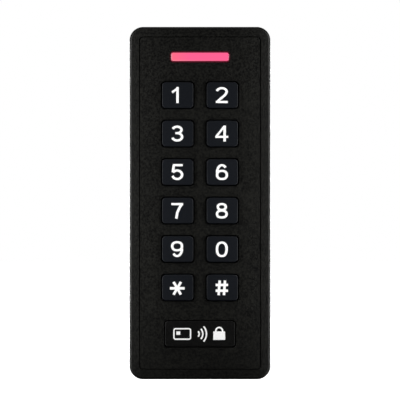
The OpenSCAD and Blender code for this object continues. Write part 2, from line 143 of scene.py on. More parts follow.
class Casting:
    """Rings of points joined by skins and closed by flat faces, which become one closed mesh."""

    def __init__(self):
        self.bm = bmesh.new()

    def ring(self, outline, y):
        return [self.bm.verts.new((x * MM, y * MM, z * MM)) for x, z in outline]

    def level_ring(self, outline, z):
        """A ring that lies in a horizontal plane."""
        return [self.bm.verts.new((x * MM, y * MM, z * MM)) for x, y in outline]

    def skin(self, *rings):
        for a, b in zip(rings, rings[1:]):
            for i in range(len(a)):
                j = (i + 1) % len(a)
                self.bm.faces.new((a[i], a[j], b[j], b[i]))

    def wall(self, outline, steps):
        """A skin through outline(inset) at each (inset, y) of steps. Returns its first and last rings."""
        rings = [self.ring(outline(inset), y) for inset, y in steps]
        self.skin(*rings)
        return rings[0], rings[-1]

    def flat(self, *loops):
        """A flat face bounded by the first loop, with the others as holes in it."""
        edges = []
        for loop in loops:
            for a, b in zip(loop, loop[1:] + loop[:1]):
                edges.append(self.bm.edges.get((a, b)) or self.bm.edges.new((a, b)))
        bmesh.ops.triangle_fill(self.bm, use_beauty=True, use_dissolve=False, edges=edges)

    def solid(self, outline, steps):
        """A closed form through outline(inset) at each (inset, y) of steps, with a flat face at each end."""
        for end in self.wall(outline, steps):
            self.flat(end)

    def hoop(self, outline, steps):
        """A closed form round an opening: the last of steps joins the first."""
        rings = [self.ring(outline(inset), y) for inset, y in steps]
        self.skin(*rings, rings[0])

    def elbow(self, x0, x1, profile):
        """An elbow from x0 to x1 whose side is profile, a list of (y, z). Returns its open foot's loop."""
        left, right = ([self.bm.verts.new((x * MM, y * MM, z * MM)) for y, z in profile] for x in (x0, x1))
        for i in range(len(profile) - 1):
            self.bm.faces.new((left[i], left[i + 1], right[i + 1], right[i]))
        for side in (left, right):
            self.bm.faces.new(side)
        return [left[0], right[0], right[-1], left[-1]]

    def pierce(self, x, y, steps):
        """A round hole along Z through two level faces. steps are (radius, z), from one face to the other."""
        rings = [self.level_ring(circle(radius, x, y), z) for radius, z in steps]
        self.skin(*rings)
        for ring, (_, z) in ((rings[0], steps[0]), (rings[-1], steps[-1])):
            for face in [f for f in self.bm.faces if len(f.verts) == 4]:
                xs = [v.co.x / MM for v in face.verts]
                ys = [v.co.y / MM for v in face.verts]
                level = all(abs(v.co.z / MM - z) < 0.001 for v in face.verts)
                if level and min(xs) < x < max(xs) and min(ys) < y < max(ys):
                    border = list(face.verts)
                    self.bm.faces.remove(face)
                    self.flat(border, ring)

    def mesh(self, name):
        bmesh.ops.recalc_face_normals(self.bm, faces=self.bm.faces)
        mesh = bpy.data.meshes.new(name)
        self.bm.to_mesh(mesh)
        self.bm.free()
        return mesh

    def piece(self, name, material, slot, stands_for=(), body=ROOT):
        return fit_out(name, self.mesh(name), material, stands_for, body)


def fit_out(name, mesh, material, stands_for=(), body=ROOT):
    """Makes the piece of a finished mesh, with its material and its place in the frame."""
    mesh.shade_smooth()
    mesh.set_sharp_from_angle(angle=math.radians(32))
    mesh.materials.clear()
    mesh.materials.append(material)
    piece = bpy.data.objects.new(name, mesh)
    bpy.context.scene.collection.objects.link(piece)
    normals = piece.modifiers.new("flat faces", "WEIGHTED_NORMAL")
    normals.keep_sharp = True
    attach(piece, body)
    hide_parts(*stands_for)
    return piece


class Tree:
    """A Geometry Nodes tree with named sizes, which ends in Realize Instances and Set Material."""

    KINDS = {int: "NodeSocketInt", float: "NodeSocketFloat", tuple: "NodeSocketVector",
             bpy.types.Object: "NodeSocketObject", bpy.types.Material: "NodeSocketMaterial"}

    def __init__(self, name, **sizes):
        self.name = name
        self.tree = bpy.data.node_groups.new(name, "GeometryNodeTree")
        self.values = {}
        for label, value in sizes.items():
            kind = self.KINDS[type(value)]
            socket = self.tree.interface.new_socket(label, in_out="INPUT", socket_type=kind)
            self.values[socket.identifier] = value
        self.tree.interface.new_socket("Geometry", in_out="OUTPUT", socket_type="NodeSocketGeometry")
        self.given = self.tree.nodes.new("NodeGroupInput").outputs

    def add(self, kind, links=None, output=0, **settings):
        """Adds a node, sets or links its inputs and returns one of its outputs."""
        node = self.tree.nodes.new(kind)
        for key, value in settings.items():
            setattr(node, key, value)
        for socket, value in (links or {}).items():
            if isinstance(value, bpy.types.NodeSocket):
                self.tree.links.new(value, node.inputs[socket])
            else:
                node.inputs[socket].default_value = value
        return node.outputs[output]

    def mesh(self, geometry):
        """The plain mesh that the tree makes."""
        real = self.add("GeometryNodeRealizeInstances", {"Geometry": geometry})
        end = self.add("GeometryNodeSetMaterial", {"Geometry": real, "Material": self.given["Material"]})
        self.tree.links.new(end, self.tree.nodes.new("NodeGroupOutput").inputs["Geometry"])
        maker = bpy.data.objects.new(self.name, bpy.data.meshes.new(self.name))
        bpy.context.scene.collection.objects.link(maker)
        modifier = maker.modifiers.new(self.name, "NODES")
        modifier.node_group = self.tree
        for identifier, value in self.values.items():
            modifier[identifier] = value
        made = bpy.data.meshes.new_from_object(maker.evaluated_get(bpy.context.evaluated_depsgraph_get()))
        bpy.data.objects.remove(maker)
        return made


def rows_of(name, cast, columns, rows, pitch_x, pitch_z, x, z, material, stands_for=()):
    """Copies of one small casting on a grid of columns and rows about x, z, as one piece."""
    part = bpy.data.objects.new(name + "_one", cast.mesh(name + "_one"))
    bpy.context.scene.collection.objects.link(part)
    tree = Tree(name, Part=part, Columns=columns, Rows=rows, Width=(columns - 1) * pitch_x * MM,
                Height=(rows - 1) * pitch_z * MM, Centre=(x * MM, 0.0, z * MM), Material=material)
    given = tree.given
    grid = tree.add("GeometryNodeMeshGrid", {"Size X": given["Width"], "Size Y": given["Height"],
                                             "Vertices X": given["Columns"], "Vertices Y": given["Rows"]})
    upright = tree.add("GeometryNodeTransform", {"Geometry": grid, "Rotation": (math.pi / 2, 0, 0),
                                                 "Translation": given["Centre"]})
    shape = tree.add("GeometryNodeObjectInfo", {"Object": given["Part"]}, output="Geometry")
    copies = tree.add("GeometryNodeInstanceOnPoints", {"Points": upright, "Instance": shape})
    mesh = tree.mesh(copies)
    bpy.data.objects.remove(part)
    return fit_out(name, mesh, material, stands_for)


# ------------------------------------------------------------------ materials

class Finish:
    """A material with one Principled shader, and short calls for the nodes that feed it."""

    def __init__(self, name, **values):
        self.material = bpy.data.materials.new(name)
        self.material.use_nodes = True
        self.tree = self.material.node_tree
        self.shader = self.tree.nodes["Principled BSDF"]
        for socket, value in values.items():
            self.shader.inputs[socket.replace("_", " ")].default_value = value
        self.place = self.add("ShaderNodeTexCoord").outputs["Object"]

    def add(self, kind, links=None, **settings):
        node = self.tree.nodes.new(kind)
        for key, value in settings.items():
            setattr(node, key, value)
        for socket, value in (links or {}).items():
            target = node.inputs[socket]
            if isinstance(value, bpy.types.NodeSocket):
                self.tree.links.new(value, target)
            else:
                target.default_value = value
        return node

    def noise(self, size, detail=3.0, rough=0.55):
        """Noise whose grains are about size millimetres."""
        return self.add("ShaderNodeTexNoise", {"Vector": self.place, "Scale": 1 / (size * MM),
                                               "Detail": detail, "Roughness": rough}).outputs["Fac"]

    def pits(self, size):
        """Cells of about size millimetres, dark in the middle."""
        cells = self.add("ShaderNodeTexVoronoi", {"Vector": self.place, "Scale": 1 / (size * MM)})
        return cells.outputs["Distance"]

    def remap(self, value, low, high, to_low, to_high):
        return self.add("ShaderNodeMapRange", {"Value": value, "From Min": low, "From Max": high,
                                               "To Min": to_low, "To Max": to_high}).outputs["Result"]

    def sum(self, a, b, operation="ADD"):
        return self.add("ShaderNodeMath", {0: a, 1: b}, operation=operation).outputs["Value"]

    def blend(self, factor, a, b):
        mix = self.add("ShaderNodeMix", data_type="RGBA")
        sockets = [s for s in mix.inputs if s.type == "RGBA"]
        self.tree.links.new(factor, mix.inputs["Factor"])
        for socket, colour in zip(sockets, (a, b)):
            if isinstance(colour, bpy.types.NodeSocket):
                self.tree.links.new(colour, socket)
            else:
                socket.default_value = (*colour, 1)
        return next(s for s in mix.outputs if s.type == "RGBA")

    def link(self, value, socket):
        self.tree.links.new(value, self.shader.inputs[socket])

    def bump(self, height, depth, strength=1.0):
        """Relief of depth millimetres."""
        node = self.add("ShaderNodeBump", {"Height": height, "Distance": depth * MM, "Strength": strength})
        self.link(node.outputs["Normal"], "Normal")

    def coordinate(self, axis):
        return self.add("ShaderNodeSeparateXYZ", {"Vector": self.place}).outputs[axis]


def moulded(name, dark, light, grain, depth, roughness, **values):
    """Moulded plastic or rubber: a grain of that size and depth, and a little change of tone and gloss."""
    finish = Finish(name, **values)
    fine = finish.noise(grain)
    broad = finish.noise(grain * 14, 2)
    tone = finish.sum(finish.remap(fine, 0.38, 0.62, 0, 0.8), finish.remap(broad, 0.3, 0.7, 0, 0.2))
    finish.link(finish.blend(tone, dark, light), "Base Color")
    finish.link(finish.remap(fine, 0.3, 0.7, roughness - 0.06, roughness + 0.06), "Roughness")
    finish.bump(finish.sum(fine, finish.pits(grain * 0.8), "ADD"), depth)
    return finish.material


def printed(name, colour):
    """Opaque ink with a faint mottle, and a faint white glow that is painted light to make it brighter."""
    # Painted light: a faint white emission brightens the ink beyond what the lamps give it.
    finish = Finish(name, Roughness=0.5, Emission_Color=(1, 1, 1, 1), Emission_Strength=0.06)
    cloud = finish.noise(0.3)
    duller = [c * 0.96 for c in colour]
    finish.link(finish.blend(finish.remap(cloud, 0.3, 0.7, 0, 1), duller, colour), "Base Color")
    finish.bump(cloud, 0.004)
    return finish.material


def metal(name, dark, light, roughness, grain=0.25, **values):
    """Plated or turned metal with a fine directional grain."""
    finish = Finish(name, Metallic=1.0, **values)
    stretch = finish.add("ShaderNodeMapping", {"Vector": finish.place, "Scale": (1, 1, 7)})
    noise = finish.add("ShaderNodeTexNoise", {"Vector": stretch.outputs["Vector"], "Scale": 1 / (grain * MM),
                                              "Detail": 4.0})
    streaks = noise.outputs["Fac"]
    finish.link(finish.blend(finish.remap(streaks, 0.3, 0.7, 0, 1), dark, light), "Base Color")
    finish.link(finish.remap(streaks, 0.3, 0.7, roughness - 0.08, roughness + 0.08), "Roughness")
    finish.bump(streaks, 0.006)
    return finish.material


def lit_acrylic(name):
    """Glowing pink diffuser, warmer at its left end, with a painted highlight that makes its left and lower
    rim paler. Its sides glow only near black, as painted shade round the window's edge.
    """
    finish = Finish(name, Roughness=0.28, Base_Color=(0.20, 0.022, 0.05, 1), Emission_Strength=0.95)
    centre, size = middle("indicator_window"), span("indicator_window") - Vector((2.5, 0, 2.5))
    along = finish.coordinate("X")
    warm = finish.remap(along, (centre.x - size.x * 0.47) * MM, (centre.x - size.x * 0.18) * MM, 1, 0)
    lit = finish.blend(warm, (0.97, 0.105, 0.26), (1.0, 0.135, 0.205))
    # Painted highlight: the glow turns pale pink along the left and lower rim, most strongly at the left end.
    highlight_rim_w = 0.6
    near = [finish.sum((centre.x - size.x / 2 + highlight_rim_w) * MM, along, "SUBTRACT"),
            finish.sum((centre.z - size.z / 2 + highlight_rim_w) * MM, finish.coordinate("Z"), "SUBTRACT")]
    rim_highlight = finish.remap(finish.sum(*near, "MAXIMUM"), 0, highlight_rim_w / 2 * MM, 0, 1)
    highlight_fade = finish.remap(along, (centre.x - size.x * 0.5) * MM, (centre.x + size.x * 0.4) * MM, 0.75, 0.12)
    face = finish.blend(finish.sum(rim_highlight, highlight_fade, "MULTIPLY"), lit, (1.0, 0.62, 0.66))
    # Painted shade: just behind the front face the glow drops to near black, so the rounded edge and sides
    # look shaded.
    front = box("indicator_window")[0].y
    depth = finish.remap(finish.coordinate("Y"), front * MM, (front + 0.05) * MM, 0, 1)
    finish.link(finish.blend(depth, face, (0.05, 0.003, 0.008)), "Emission Color")
    finish.bump(finish.noise(0.5), 0.004)
    return finish.material


def solder_mask(name):
    """Green lacquer over straight copper tracks in patches, with a tinned ring round each through-hole."""
    finish = Finish(name, Roughness=0.3, Coat_Weight=0.4)
    pitch, width, patch_w, hole_pitch = 0.9, 0.32, 6.5, 1.8
    flat = finish.add("ShaderNodeMapping", {"Vector": finish.place, "Scale": (1, 0, 1)}).outputs["Vector"]
    patch = finish.add("ShaderNodeTexVoronoi", {"Vector": flat, "Scale": 1 / (patch_w * MM)},
                       distance="CHEBYCHEV")
    chance = finish.add("ShaderNodeSeparateColor", {"Color": patch.outputs["Color"]}).outputs
    runs_up = finish.sum(chance["Red"], 0.5, "GREATER_THAN")

    def lines(axis):
        from_line = finish.sum(finish.coordinate(axis), pitch / 2 * MM, "PINGPONG")
        return finish.sum(from_line, width / 2 * MM, "LESS_THAN")

    upright = finish.sum(lines("X"), runs_up, "MULTIPLY")
    level = finish.sum(lines("Z"), finish.sum(1.0, runs_up, "SUBTRACT"), "MULTIPLY")
    wired = finish.sum(chance["Green"], 0.3, "GREATER_THAN")
    tracks = finish.sum(finish.sum(upright, level, "MAXIMUM"), wired, "MULTIPLY")
    holes = finish.add("ShaderNodeTexVoronoi", {"Vector": flat, "Scale": 1 / (hole_pitch * MM),
                                                "Randomness": 0.0})
    kept = finish.add("ShaderNodeSeparateColor", {"Color": holes.outputs["Color"]}).outputs["Red"]
    ring = finish.sum(finish.sum(holes.outputs["Distance"], 0.2, "LESS_THAN"),
                      finish.sum(kept, 0.72, "GREATER_THAN"), "MULTIPLY")
    lacquer = finish.blend(tracks, (0.006, 0.075, 0.028), (0.012, 0.125, 0.05))
    finish.link(finish.blend(ring, lacquer, (0.62, 0.60, 0.56)), "Base Color")
    finish.link(ring, "Metallic")
    finish.bump(finish.sum(tracks, ring, "MAXIMUM"), 0.03)
    return finish.material


def ceramic(name):
    """Orange ceramic with a light-sensitive track that snakes across it."""
    finish = Finish(name, Roughness=0.35, Coat_Weight=0.6)
    centre = middle("tamper_sensor")
    across = finish.sum(finish.coordinate("Z"), centre.z * MM, "SUBTRACT")
    wave = finish.add("ShaderNodeMath", {0: finish.sum(across, math.tau / (0.9 * MM), "MULTIPLY")},
                      operation="SINE").outputs["Value"]
    track = finish.remap(wave, 0.1, 0.3, 0, 1)
    finish.link(finish.blend(track, (0.75, 0.28, 0.10), (0.16, 0.05, 0.03)), "Base Color")
    finish.bump(finish.sum(track, finish.noise(0.4), "ADD"), 0.02)
    return finish.material


def clear_moulding(name):
    """Water-clear plastic with a faint flow mark."""
    finish = Finish(name, Base_Color=(0.93, 0.96, 0.97, 1), Transmission_Weight=1.0, IOR=1.49)
    flow = finish.noise(2.5, 1)
    finish.link(finish.remap(flow, 0.3, 0.7, 0.03, 0.08), "Roughness")
    finish.bump(flow, 0.01)
    return finish.material


HOUSING = moulded("spark_abs", (0.0001, 0.0001, 0.0001), (0.0074, 0.0074, 0.0060), 0.6, 0.035, 0.45,
                  Specular_IOR_Level=0.2)
INNER_ABS = moulded("inner_abs", (0.011, 0.011, 0.0105), (0.014, 0.014, 0.013), 0.9, 0.015, 0.42)
KEY_PLASTIC = moulded("key_satin", (0.0042, 0.0052, 0.0074), (0.0052, 0.0064, 0.0088), 0.5, 0.006, 0.42,
                      Specular_IOR_Level=0.2)
PLATE_BLACK = moulded("nameplate_satin", (0.0022, 0.0022, 0.0021), (0.0040, 0.0040, 0.0038), 0.6, 0.008, 0.4,
                      Specular_IOR_Level=0.18)
SILICONE = moulded("grey_silicone", (0.14, 0.15, 0.16), (0.18, 0.19, 0.20), 0.6, 0.012, 0.6)
RUBBER = moulded("black_rubber", (0.010, 0.010, 0.010), (0.016, 0.016, 0.016), 0.5, 0.02, 0.7)
WHITE_PLASTIC = moulded("white_reflector", (0.78, 0.78, 0.76), (0.86, 0.86, 0.84), 0.8, 0.01, 0.4)
IVORY = moulded("ivory_nylon", (0.70, 0.66, 0.54), (0.78, 0.74, 0.62), 0.8, 0.012, 0.45)
BLACK_CASE = moulded("moulded_epoxy", (0.010, 0.010, 0.010), (0.018, 0.018, 0.018), 0.3, 0.012, 0.55)
WHITE_INK = printed("white_ink", (0.93, 0.93, 0.92))
STEEL = metal("plated_steel", (0.42, 0.42, 0.43), (0.60, 0.60, 0.61), 0.32)
BRASS = metal("turned_brass", (0.60, 0.40, 0.14), (0.78, 0.56, 0.22), 0.3)
GOLD = metal("gold_plate", (0.80, 0.52, 0.18), (0.92, 0.64, 0.26), 0.22)
COPPER = metal("enamelled_copper", (0.50, 0.17, 0.06), (0.66, 0.25, 0.10), 0.26)
CARBON = moulded("carbon_pill", (0.006, 0.006, 0.006), (0.010, 0.010, 0.010), 0.2, 0.01, 0.65)
TAN_CERAMIC = moulded("tan_ceramic", (0.30, 0.19, 0.10), (0.38, 0.25, 0.14), 0.2, 0.008, 0.45)
SLEEVE = moulded("blue_black_sleeve", (0.010, 0.012, 0.022), (0.014, 0.017, 0.030), 0.5, 0.006, 0.25)
RELAY_BLUE = moulded("relay_case", (0.020, 0.060, 0.16), (0.028, 0.075, 0.19), 0.5, 0.010, 0.3)
CERAMIC = ceramic("sensor_ceramic")
CLEAR = clear_moulding("clear_moulding")
LIT = lit_acrylic("lit_acrylic")
BOARD = solder_mask("solder_mask")


# ------------------------------------------------------------------ casing

EDGE = 0.9
GROOVE = 3.55
GROOVE_DEPTH = 0.55
GROOVE_WIDTH = 0.34
LIP = 0.06
SHOULDER = 1.4
WALL = 2.0
CHAMBER_GAP = 0.3
SCREW_PAD_T = 3.1
SCREW_PAD_W = 18.0
KEY_FLANGE = 1.0
KEY_GAP = 0.42


def body_outline(inset):
    size = span("front_cover")
    return round_rect(size.x - 2 * inset, size.z - 2 * inset, max(4.8 - inset, 1.25), steps=14)


def chamber(inset):
    """The mouth that the rear cover fills, with a gap all round."""
    size = span("rear_cover") + 2 * Vector((CHAMBER_GAP, 0, CHAMBER_GAP))
    radius = max(2.8 - inset, 0.5)
    return round_rect(size.x - 2 * inset, size.z - 2 * inset, radius, 0, middle("rear_cover").z)


def key_opening(key):
    at = KEY_AT[key]
    size = span("keycap_" + key)
    w, h = (side + 2 * (KEY_GAP - KEY_FLANGE) for side in (size.x, size.z))
    return lambda grow: round_rect(w + 2 * grow, h + 2 * grow, 1.4 + grow, at.x, at.z)


def window_opening(grow):
    at, size = middle("indicator_window"), span("indicator_window")
    return round_rect(size.x - 2 + 2 * grow, size.z - 2 + 2 * grow, 1.2 + grow, at.x, at.z)


def nameplate_recess(grow):
    at, size = middle("nameplate"), span("nameplate")
    return round_rect(size.x + 0.9 + 2 * grow, size.z + 0.9 + 2 * grow, 1.5 + grow, at.x, at.z)


def front_lip(y_end):
    """From the front face round a small lip and straight back to y_end."""
    turns = [math.radians(90 * i / 4) for i in range(5)]
    return [(LIP * (1 - math.sin(a)), FRONT + LIP * (1 - math.cos(a))) for a in turns] + [(0, y_end)]


def boss(cast, x, z, radius, top, bore, bottom):
    """A screw boss that rises from the inner floor, with its pilot hole. Returns its foot."""
    rings = [cast.ring(circle(r, x, z), y) for r, y in
             ((radius + 0.35, INNER), (radius, INNER + 0.35), (radius, top - 0.15), (radius - 0.15, top),
              (bore + 0.15, top), (bore, top - 0.15), (bore, bottom))]
    cast.skin(*rings)
    cast.flat(rings[-1])
    return rings[0]


def front_cover():
    cast = Casting()
    slope = 0.10
    low = box("front_cover")[0]
    steps = [(0.2, SEAM), (0, SEAM - 0.2)]
    steps += [(inward, FRONT + slope + EDGE - up) for inward, up in quarter(EDGE, 8)]
    half = GROOVE_WIDTH / 2
    steps += [(GROOVE - half - 0.02, FRONT), (GROOVE - half + 0.01, FRONT + 0.04),
              (GROOVE - half + 0.03, FRONT + GROOVE_DEPTH), (GROOVE + half - 0.03, FRONT + GROOVE_DEPTH),
              (GROOVE + half - 0.01, FRONT + 0.04), (GROOVE + half + 0.02, FRONT)]
    rim, panel = cast.wall(body_outline, steps)

    front_holes, floor_holes = [], []
    for opening in [key_opening(k) for k in KEYS] + [window_opening]:
        outer, inner = cast.wall(opening, front_lip(INNER))
        front_holes.append(outer)
        floor_holes.append(inner)
    seat, moat = box("nameplate")[1].y, 0.7
    outer, inner = cast.wall(nameplate_recess, front_lip(seat + moat) + [(-0.55, seat + moat), (-0.55, seat)])
    cast.flat(inner)
    front_holes.append(outer)
    cast.flat(panel, *front_holes)

    for x, z in BOSSES:
        floor_holes.append(boss(cast, x, z, 2.6, COVER_FRONT, 1.15, COVER_FRONT - 8.5))
    for x, z in POSTS:
        floor_holes.append(boss(cast, x, z, 2.0, BOARD_FRONT, 0.85, INNER + 0.4))
    floor, mouth = cast.wall(chamber, [(SHOULDER, INNER), (SHOULDER, SEAL_FRONT), (0, SEAL_FRONT), (0, SEAM)])
    cast.flat(floor, *floor_holes)

    foot_low, foot_high = low.z + WALL, low.z + SCREW_PAD_T
    below_cover = 2.3
    pocket_top = box("rear_cover")[0].z - below_cover
    half_w = span("rear_cover").x / 2 + CHAMBER_GAP
    outline = [(-half_w, foot_low), (-SCREW_PAD_W / 2, foot_low), (-SCREW_PAD_W / 2, foot_high),
               (SCREW_PAD_W / 2, foot_high), (SCREW_PAD_W / 2, foot_low),
               (half_w, foot_low), (half_w, pocket_top), (-half_w, pocket_top)]
    pocket, pocket_floor = cast.wall(lambda inset: outline, [(0, SEAM), (0, INNER + 2)])
    cast.flat(pocket_floor)
    cast.flat(rim, mouth, pocket)
    screw = middle("security_screw")
    head_gap, sink, shank_hole = 0.35, 1.5, 1.7
    head_hole = span("security_screw").x / 2 + head_gap
    cast.pierce(screw.x, screw.y, [(head_hole + 0.15, low.z), (head_hole, low.z + 0.15),
                                   (head_hole, low.z + sink), (shank_hole, low.z + sink),
                                   (shank_hole, foot_high)])
    cast.piece("housing", HOUSING, "housing_abs", ["front_cover"])


front_cover()


# ------------------------------------------------------------------ keys and characters

def keycap(key):
    """A satin cap with a softly rounded edge and the flange that holds it behind the front wall."""
    cast = Casting()
    low, high = box("keycap_" + key)
    at = KEY_AT[key]
    flange_front = INNER + 0.05
    w, h = high.x - low.x - 2 * KEY_FLANGE, high.z - low.z - 2 * KEY_FLANGE
    soft = 0.22

    def cap(inset):
        return round_rect(w - 2 * inset, h - 2 * inset, 1.25 - min(inset, 0.9), at.x, at.z)

    steps = [(-KEY_FLANGE, high.y), (-KEY_FLANGE, flange_front + 0.1), (0.1 - KEY_FLANGE, flange_front),
             (0, flange_front)]
    steps += [(inward, low.y + soft - up) for inward, up in quarter(soft, 6)]
    steps += [(soft + 0.1, low.y)]
    cast.solid(cap, steps)
    cast.piece("key_" + key, KEY_PLASTIC, "key_plastic", ["keycap_" + key], "key_" + key)


STEM = 0.90
BAR = 0.76
SYMBOL = 0.92
PRINT_SHIFT = -0.17


def heading(path, i, closed):
    last = len(path) - 1
    before = path[i - 1] if i or closed else path[0]
    after = path[(i + 1) % len(path)] if i < last or closed else path[last]
    step = Vector(after) - Vector(before)
    return step.normalized()


def stroke(path, closed=False, thick=None):
    """Quads along a path. An upright stretch is as wide as a stem, and a level one as a bar."""
    sides = []
    for i, point in enumerate(path):
        way = heading(path, i, closed)
        width = thick or BAR + (STEM - BAR) * abs(way.y)
        across = Vector((-way.y, way.x)) * width / 2
        sides.append((Vector(point) + across, Vector(point) - across))
    following = sides[1:] + sides[:1] if closed else sides[1:]
    return [(a[1], b[1], b[0], a[0]) for a, b in zip(sides, following)]


def oval(x, z, w, h, steps=40):
    """Centre line of an oval that is a little squarer than an ellipse."""
    def bulge(v):
        return math.copysign(abs(v) ** 0.88, v)

    turns = [math.tau * i / steps for i in range(steps)]
    return [(x + w / 2 * bulge(math.cos(a)), z + h / 2 * bulge(math.sin(a))) for a in turns]


TOP = 2.85
UP = TOP - BAR / 2


def six(turn=1):
    """A six, or a nine when turn is -1."""
    bowl = oval(0.05, -1.02, 4.35 - STEM, 3.66 - BAR)
    tail = arc(0.05, -0.15, (4.35 - STEM) / 2, UP + 0.15, 180, 42, 14)
    bowl, tail = ([(turn * x, turn * z) for x, z in path] for path in (bowl, tail))
    return stroke(bowl, True) + stroke(tail)


def glyph(key):
    """The strokes of a character 5.7 high, about its centre."""
    half = (4.35 - STEM) / 2
    if key == "0":
        return stroke(oval(0, -0.08, 4.3 - STEM, 5.6 - BAR), True)
    if key == "1":
        return stroke([(0.1, TOP), (0.1, -TOP)], thick=STEM) + stroke([(0.15, 2.4), (-1.85, 0.95)], thick=BAR)
    if key == "2":
        sweep = arc(0, 1.22, half, UP - 1.22, 172, -20, 12)
        sweep += [(1.15, 0.02), (0.1, -0.9), (-1.0, -1.75), (-1.55, -UP)]
        return stroke(sweep) + stroke([(-2.15, -UP), (2.15, -UP)])
    if key == "3":
        waist = 0.15
        upper = arc(-0.05, (UP + waist) / 2, half - 0.15, (UP - waist) / 2, 164, -90, 12)
        lower = arc(-0.02, (waist - UP) / 2, half + 0.02, (UP + waist) / 2, 90, -166, 14)
        return stroke(upper) + stroke(lower) + stroke([(-0.7, waist), (0.1, waist)])
    if key == "4":
        return (stroke([(1.0, TOP), (1.0, -TOP)]) + stroke([(-2.3, -1.17), (2.3, -1.17)])
                + stroke([(0.85, 2.5), (-2.0, -1.1)], thick=BAR))
    if key == "5":
        return (stroke([(-1.5, UP), (1.95, UP)]) + stroke([(-1.2, UP), (-1.55, -0.1)])
                + stroke(arc(-0.02, -0.95, half + 0.02, UP - 0.95, 147, -164, 14)))
    if key == "6":
        return six()
    if key == "7":
        leg = [(1.7, 2.3), (0.8, 1.0), (0.05, -0.65), (-0.35, -TOP)]
        return stroke([(-2.1, 2.3), (2.1, 2.3)]) + stroke(leg)
    if key == "8":
        return (stroke(oval(0, 1.3, 3.7 - STEM, 2.8 - BAR), True)
                + stroke(oval(0, -1.22, 4.3 - STEM, 3.2 - BAR), True))
    if key == "9":
        return six(-1)
    if key == "star":
        reach, drop = 2.62, 0.25
        arms = [stroke([(-reach * math.cos(a), -reach * math.sin(a) - drop),
                        (reach * math.cos(a), reach * math.sin(a) - drop)], thick=SYMBOL)
                for a in (0, math.pi / 3, math.tau / 3)]
        return [quad for arm in arms for quad in arm]
    uprights = [stroke([(x - 0.2, -2.7), (x + 0.2, 2.55)], thick=SYMBOL) for x in (-0.95, 0.95)]
    levels = [stroke([(-2.2, z), (2.2, z)], thick=SYMBOL) for z in (-1.1, 0.95)]
    return [quad for group in uprights + levels for quad in group]


def print_on(name, quads, x, z, front, back, scale, body, node):
    """One thin film of ink with the outline that the quads cover together."""
    points, faces = [], []
    for quad in quads:
        faces.append([len(points) + i for i in range(len(quad))])
        points += [p * scale for p in quad]
    merged, _, found, _, _, sources = delaunay_2d_cdt(points, [], faces, 1, 1e-5)
    triangles = [t for t, covered_by in zip(found, sources) if covered_by]
    bm = bmesh.new()
    layers = [[bm.verts.new(((x + p.x) * MM, y * MM, (z + p.y) * MM)) for p in merged] for y in (front, back)]
    for t in triangles:
        bm.faces.new([layers[0][i] for i in t])
        bm.faces.new([layers[1][i] for i in reversed(t)])
    uses = {}
    for t in triangles:
        for a, b in zip(t, list(t[1:]) + [t[0]]):
            uses.setdefault(frozenset((a, b)), []).append((a, b))
    for pair in uses.values():
        if len(pair) == 1:
            a, b = pair[0]
            bm.faces.new((layers[0][b], layers[0][a], layers[1][a], layers[1][b]))
    loose = [v for v in bm.verts if not v.link_faces]
    bmesh.ops.delete(bm, geom=loose, context="VERTS")
    bmesh.ops.recalc_face_normals(bm, faces=bm.faces)
    mesh = bpy.data.meshes.new(name)
    bm.to_mesh(mesh)
    bm.free()
    fit_out(name, mesh, WHITE_INK, [node], body)


def legend(key):
    low, high = box("legend_" + key)
    at = KEY_AT[key]
    print_on("character_" + key, glyph(key), at.x + PRINT_SHIFT, at.z, low.y, high.y, 0.995,
             "key_" + key, "legend_" + key)


for key in KEYS:
    keycap(key)
    legend(key)


# ------------------------------------------------------------------ front trim

def indicator_window():
    cast = Casting()
    low, high = box("indicator_window")
    at = (low + high) / 2
    w, h = high.x - low.x - 2.5, high.z - low.z - 2.5

    def lens(inset):
        return round_rect(w - 2 * inset, h - 2 * inset, max(1.0 - inset, 0.35), at.x, at.z)

    steps = [(-1.25, high.y), (-1.25, INNER), (0, INNER)]
    soft = 0.5
    steps += [(inward, low.y + soft - up) for inward, up in quarter(soft, 8)]
    cast.solid(lens, steps + [(soft + 0.1, low.y)])
    cast.piece("status_window", LIT, "lit_window", ["indicator_window"])


def nameplate():
    cast = Casting()
    low, high = box("nameplate")
    at = (low + high) / 2

    w, h = high.x - low.x, high.z - low.z

    def badge(inset):
        return round_rect(w - 2 * inset, h - 2 * inset, 1.15 - inset / 2, at.x, at.z)

    steps = [(0, high.y)] + [(inward, low.y + 0.18 - up) for inward, up in quarter(0.18, 4)] + [(0.25, low.y)]
    cast.solid(badge, steps)
    cast.piece("badge_plate", PLATE_BLACK, "nameplate_black", ["nameplate"])


def block(x0, x1, z0, z1):
    return [tuple(Vector(p) for p in ((x0, z0), (x1, z0), (x1, z1), (x0, z1)))]


def nameplate_mark():
    """A card, three radio waves and a padlock."""
    low, high = box("nameplate_mark")
    at = middle("nameplate")
    quads = stroke(round_rect(5.9, 3.7, 0.6, -6.3, 0, 5), True, 0.5) + block(-8.4, -7.0, -0.3, 0.9)
    for i in range(3):
        r = 1.4 + 1.3 * i
        quads += stroke(arc(-1.7, 0, r, r, -42, 42, 10), thick=0.55)
    quads += block(4.7, 8.9, -2.1, 0.9)
    quads += stroke([(5.6, 0.7)] + arc(6.8, 1.1, 1.2, 1.2, 180, 0, 12) + [(8.0, 0.7)], thick=0.55)
    print_on("badge_mark", quads, at.x, at.z, low.y, high.y, 1.0, ROOT, "nameplate_mark")


indicator_window()
nameplate()
nameplate_mark()


# ------------------------------------------------------------------ helpers for plain solids

def edged(front, back, soft):
    """(inset, y) pairs straight back from front to back, with both edges softened."""
    return [(soft, front), (0, front + soft), (0, back - soft), (soft, back)]


def rectangle(node, radius, sides=4):
    """Outline function of a node that is a rounded rectangle."""
    at, size = middle(node), span(node)
    return lambda inset: round_rect(size.x - 2 * inset, size.z - 2 * inset, max(radius - inset, 0.15),
                                    at.x, at.z, sides)


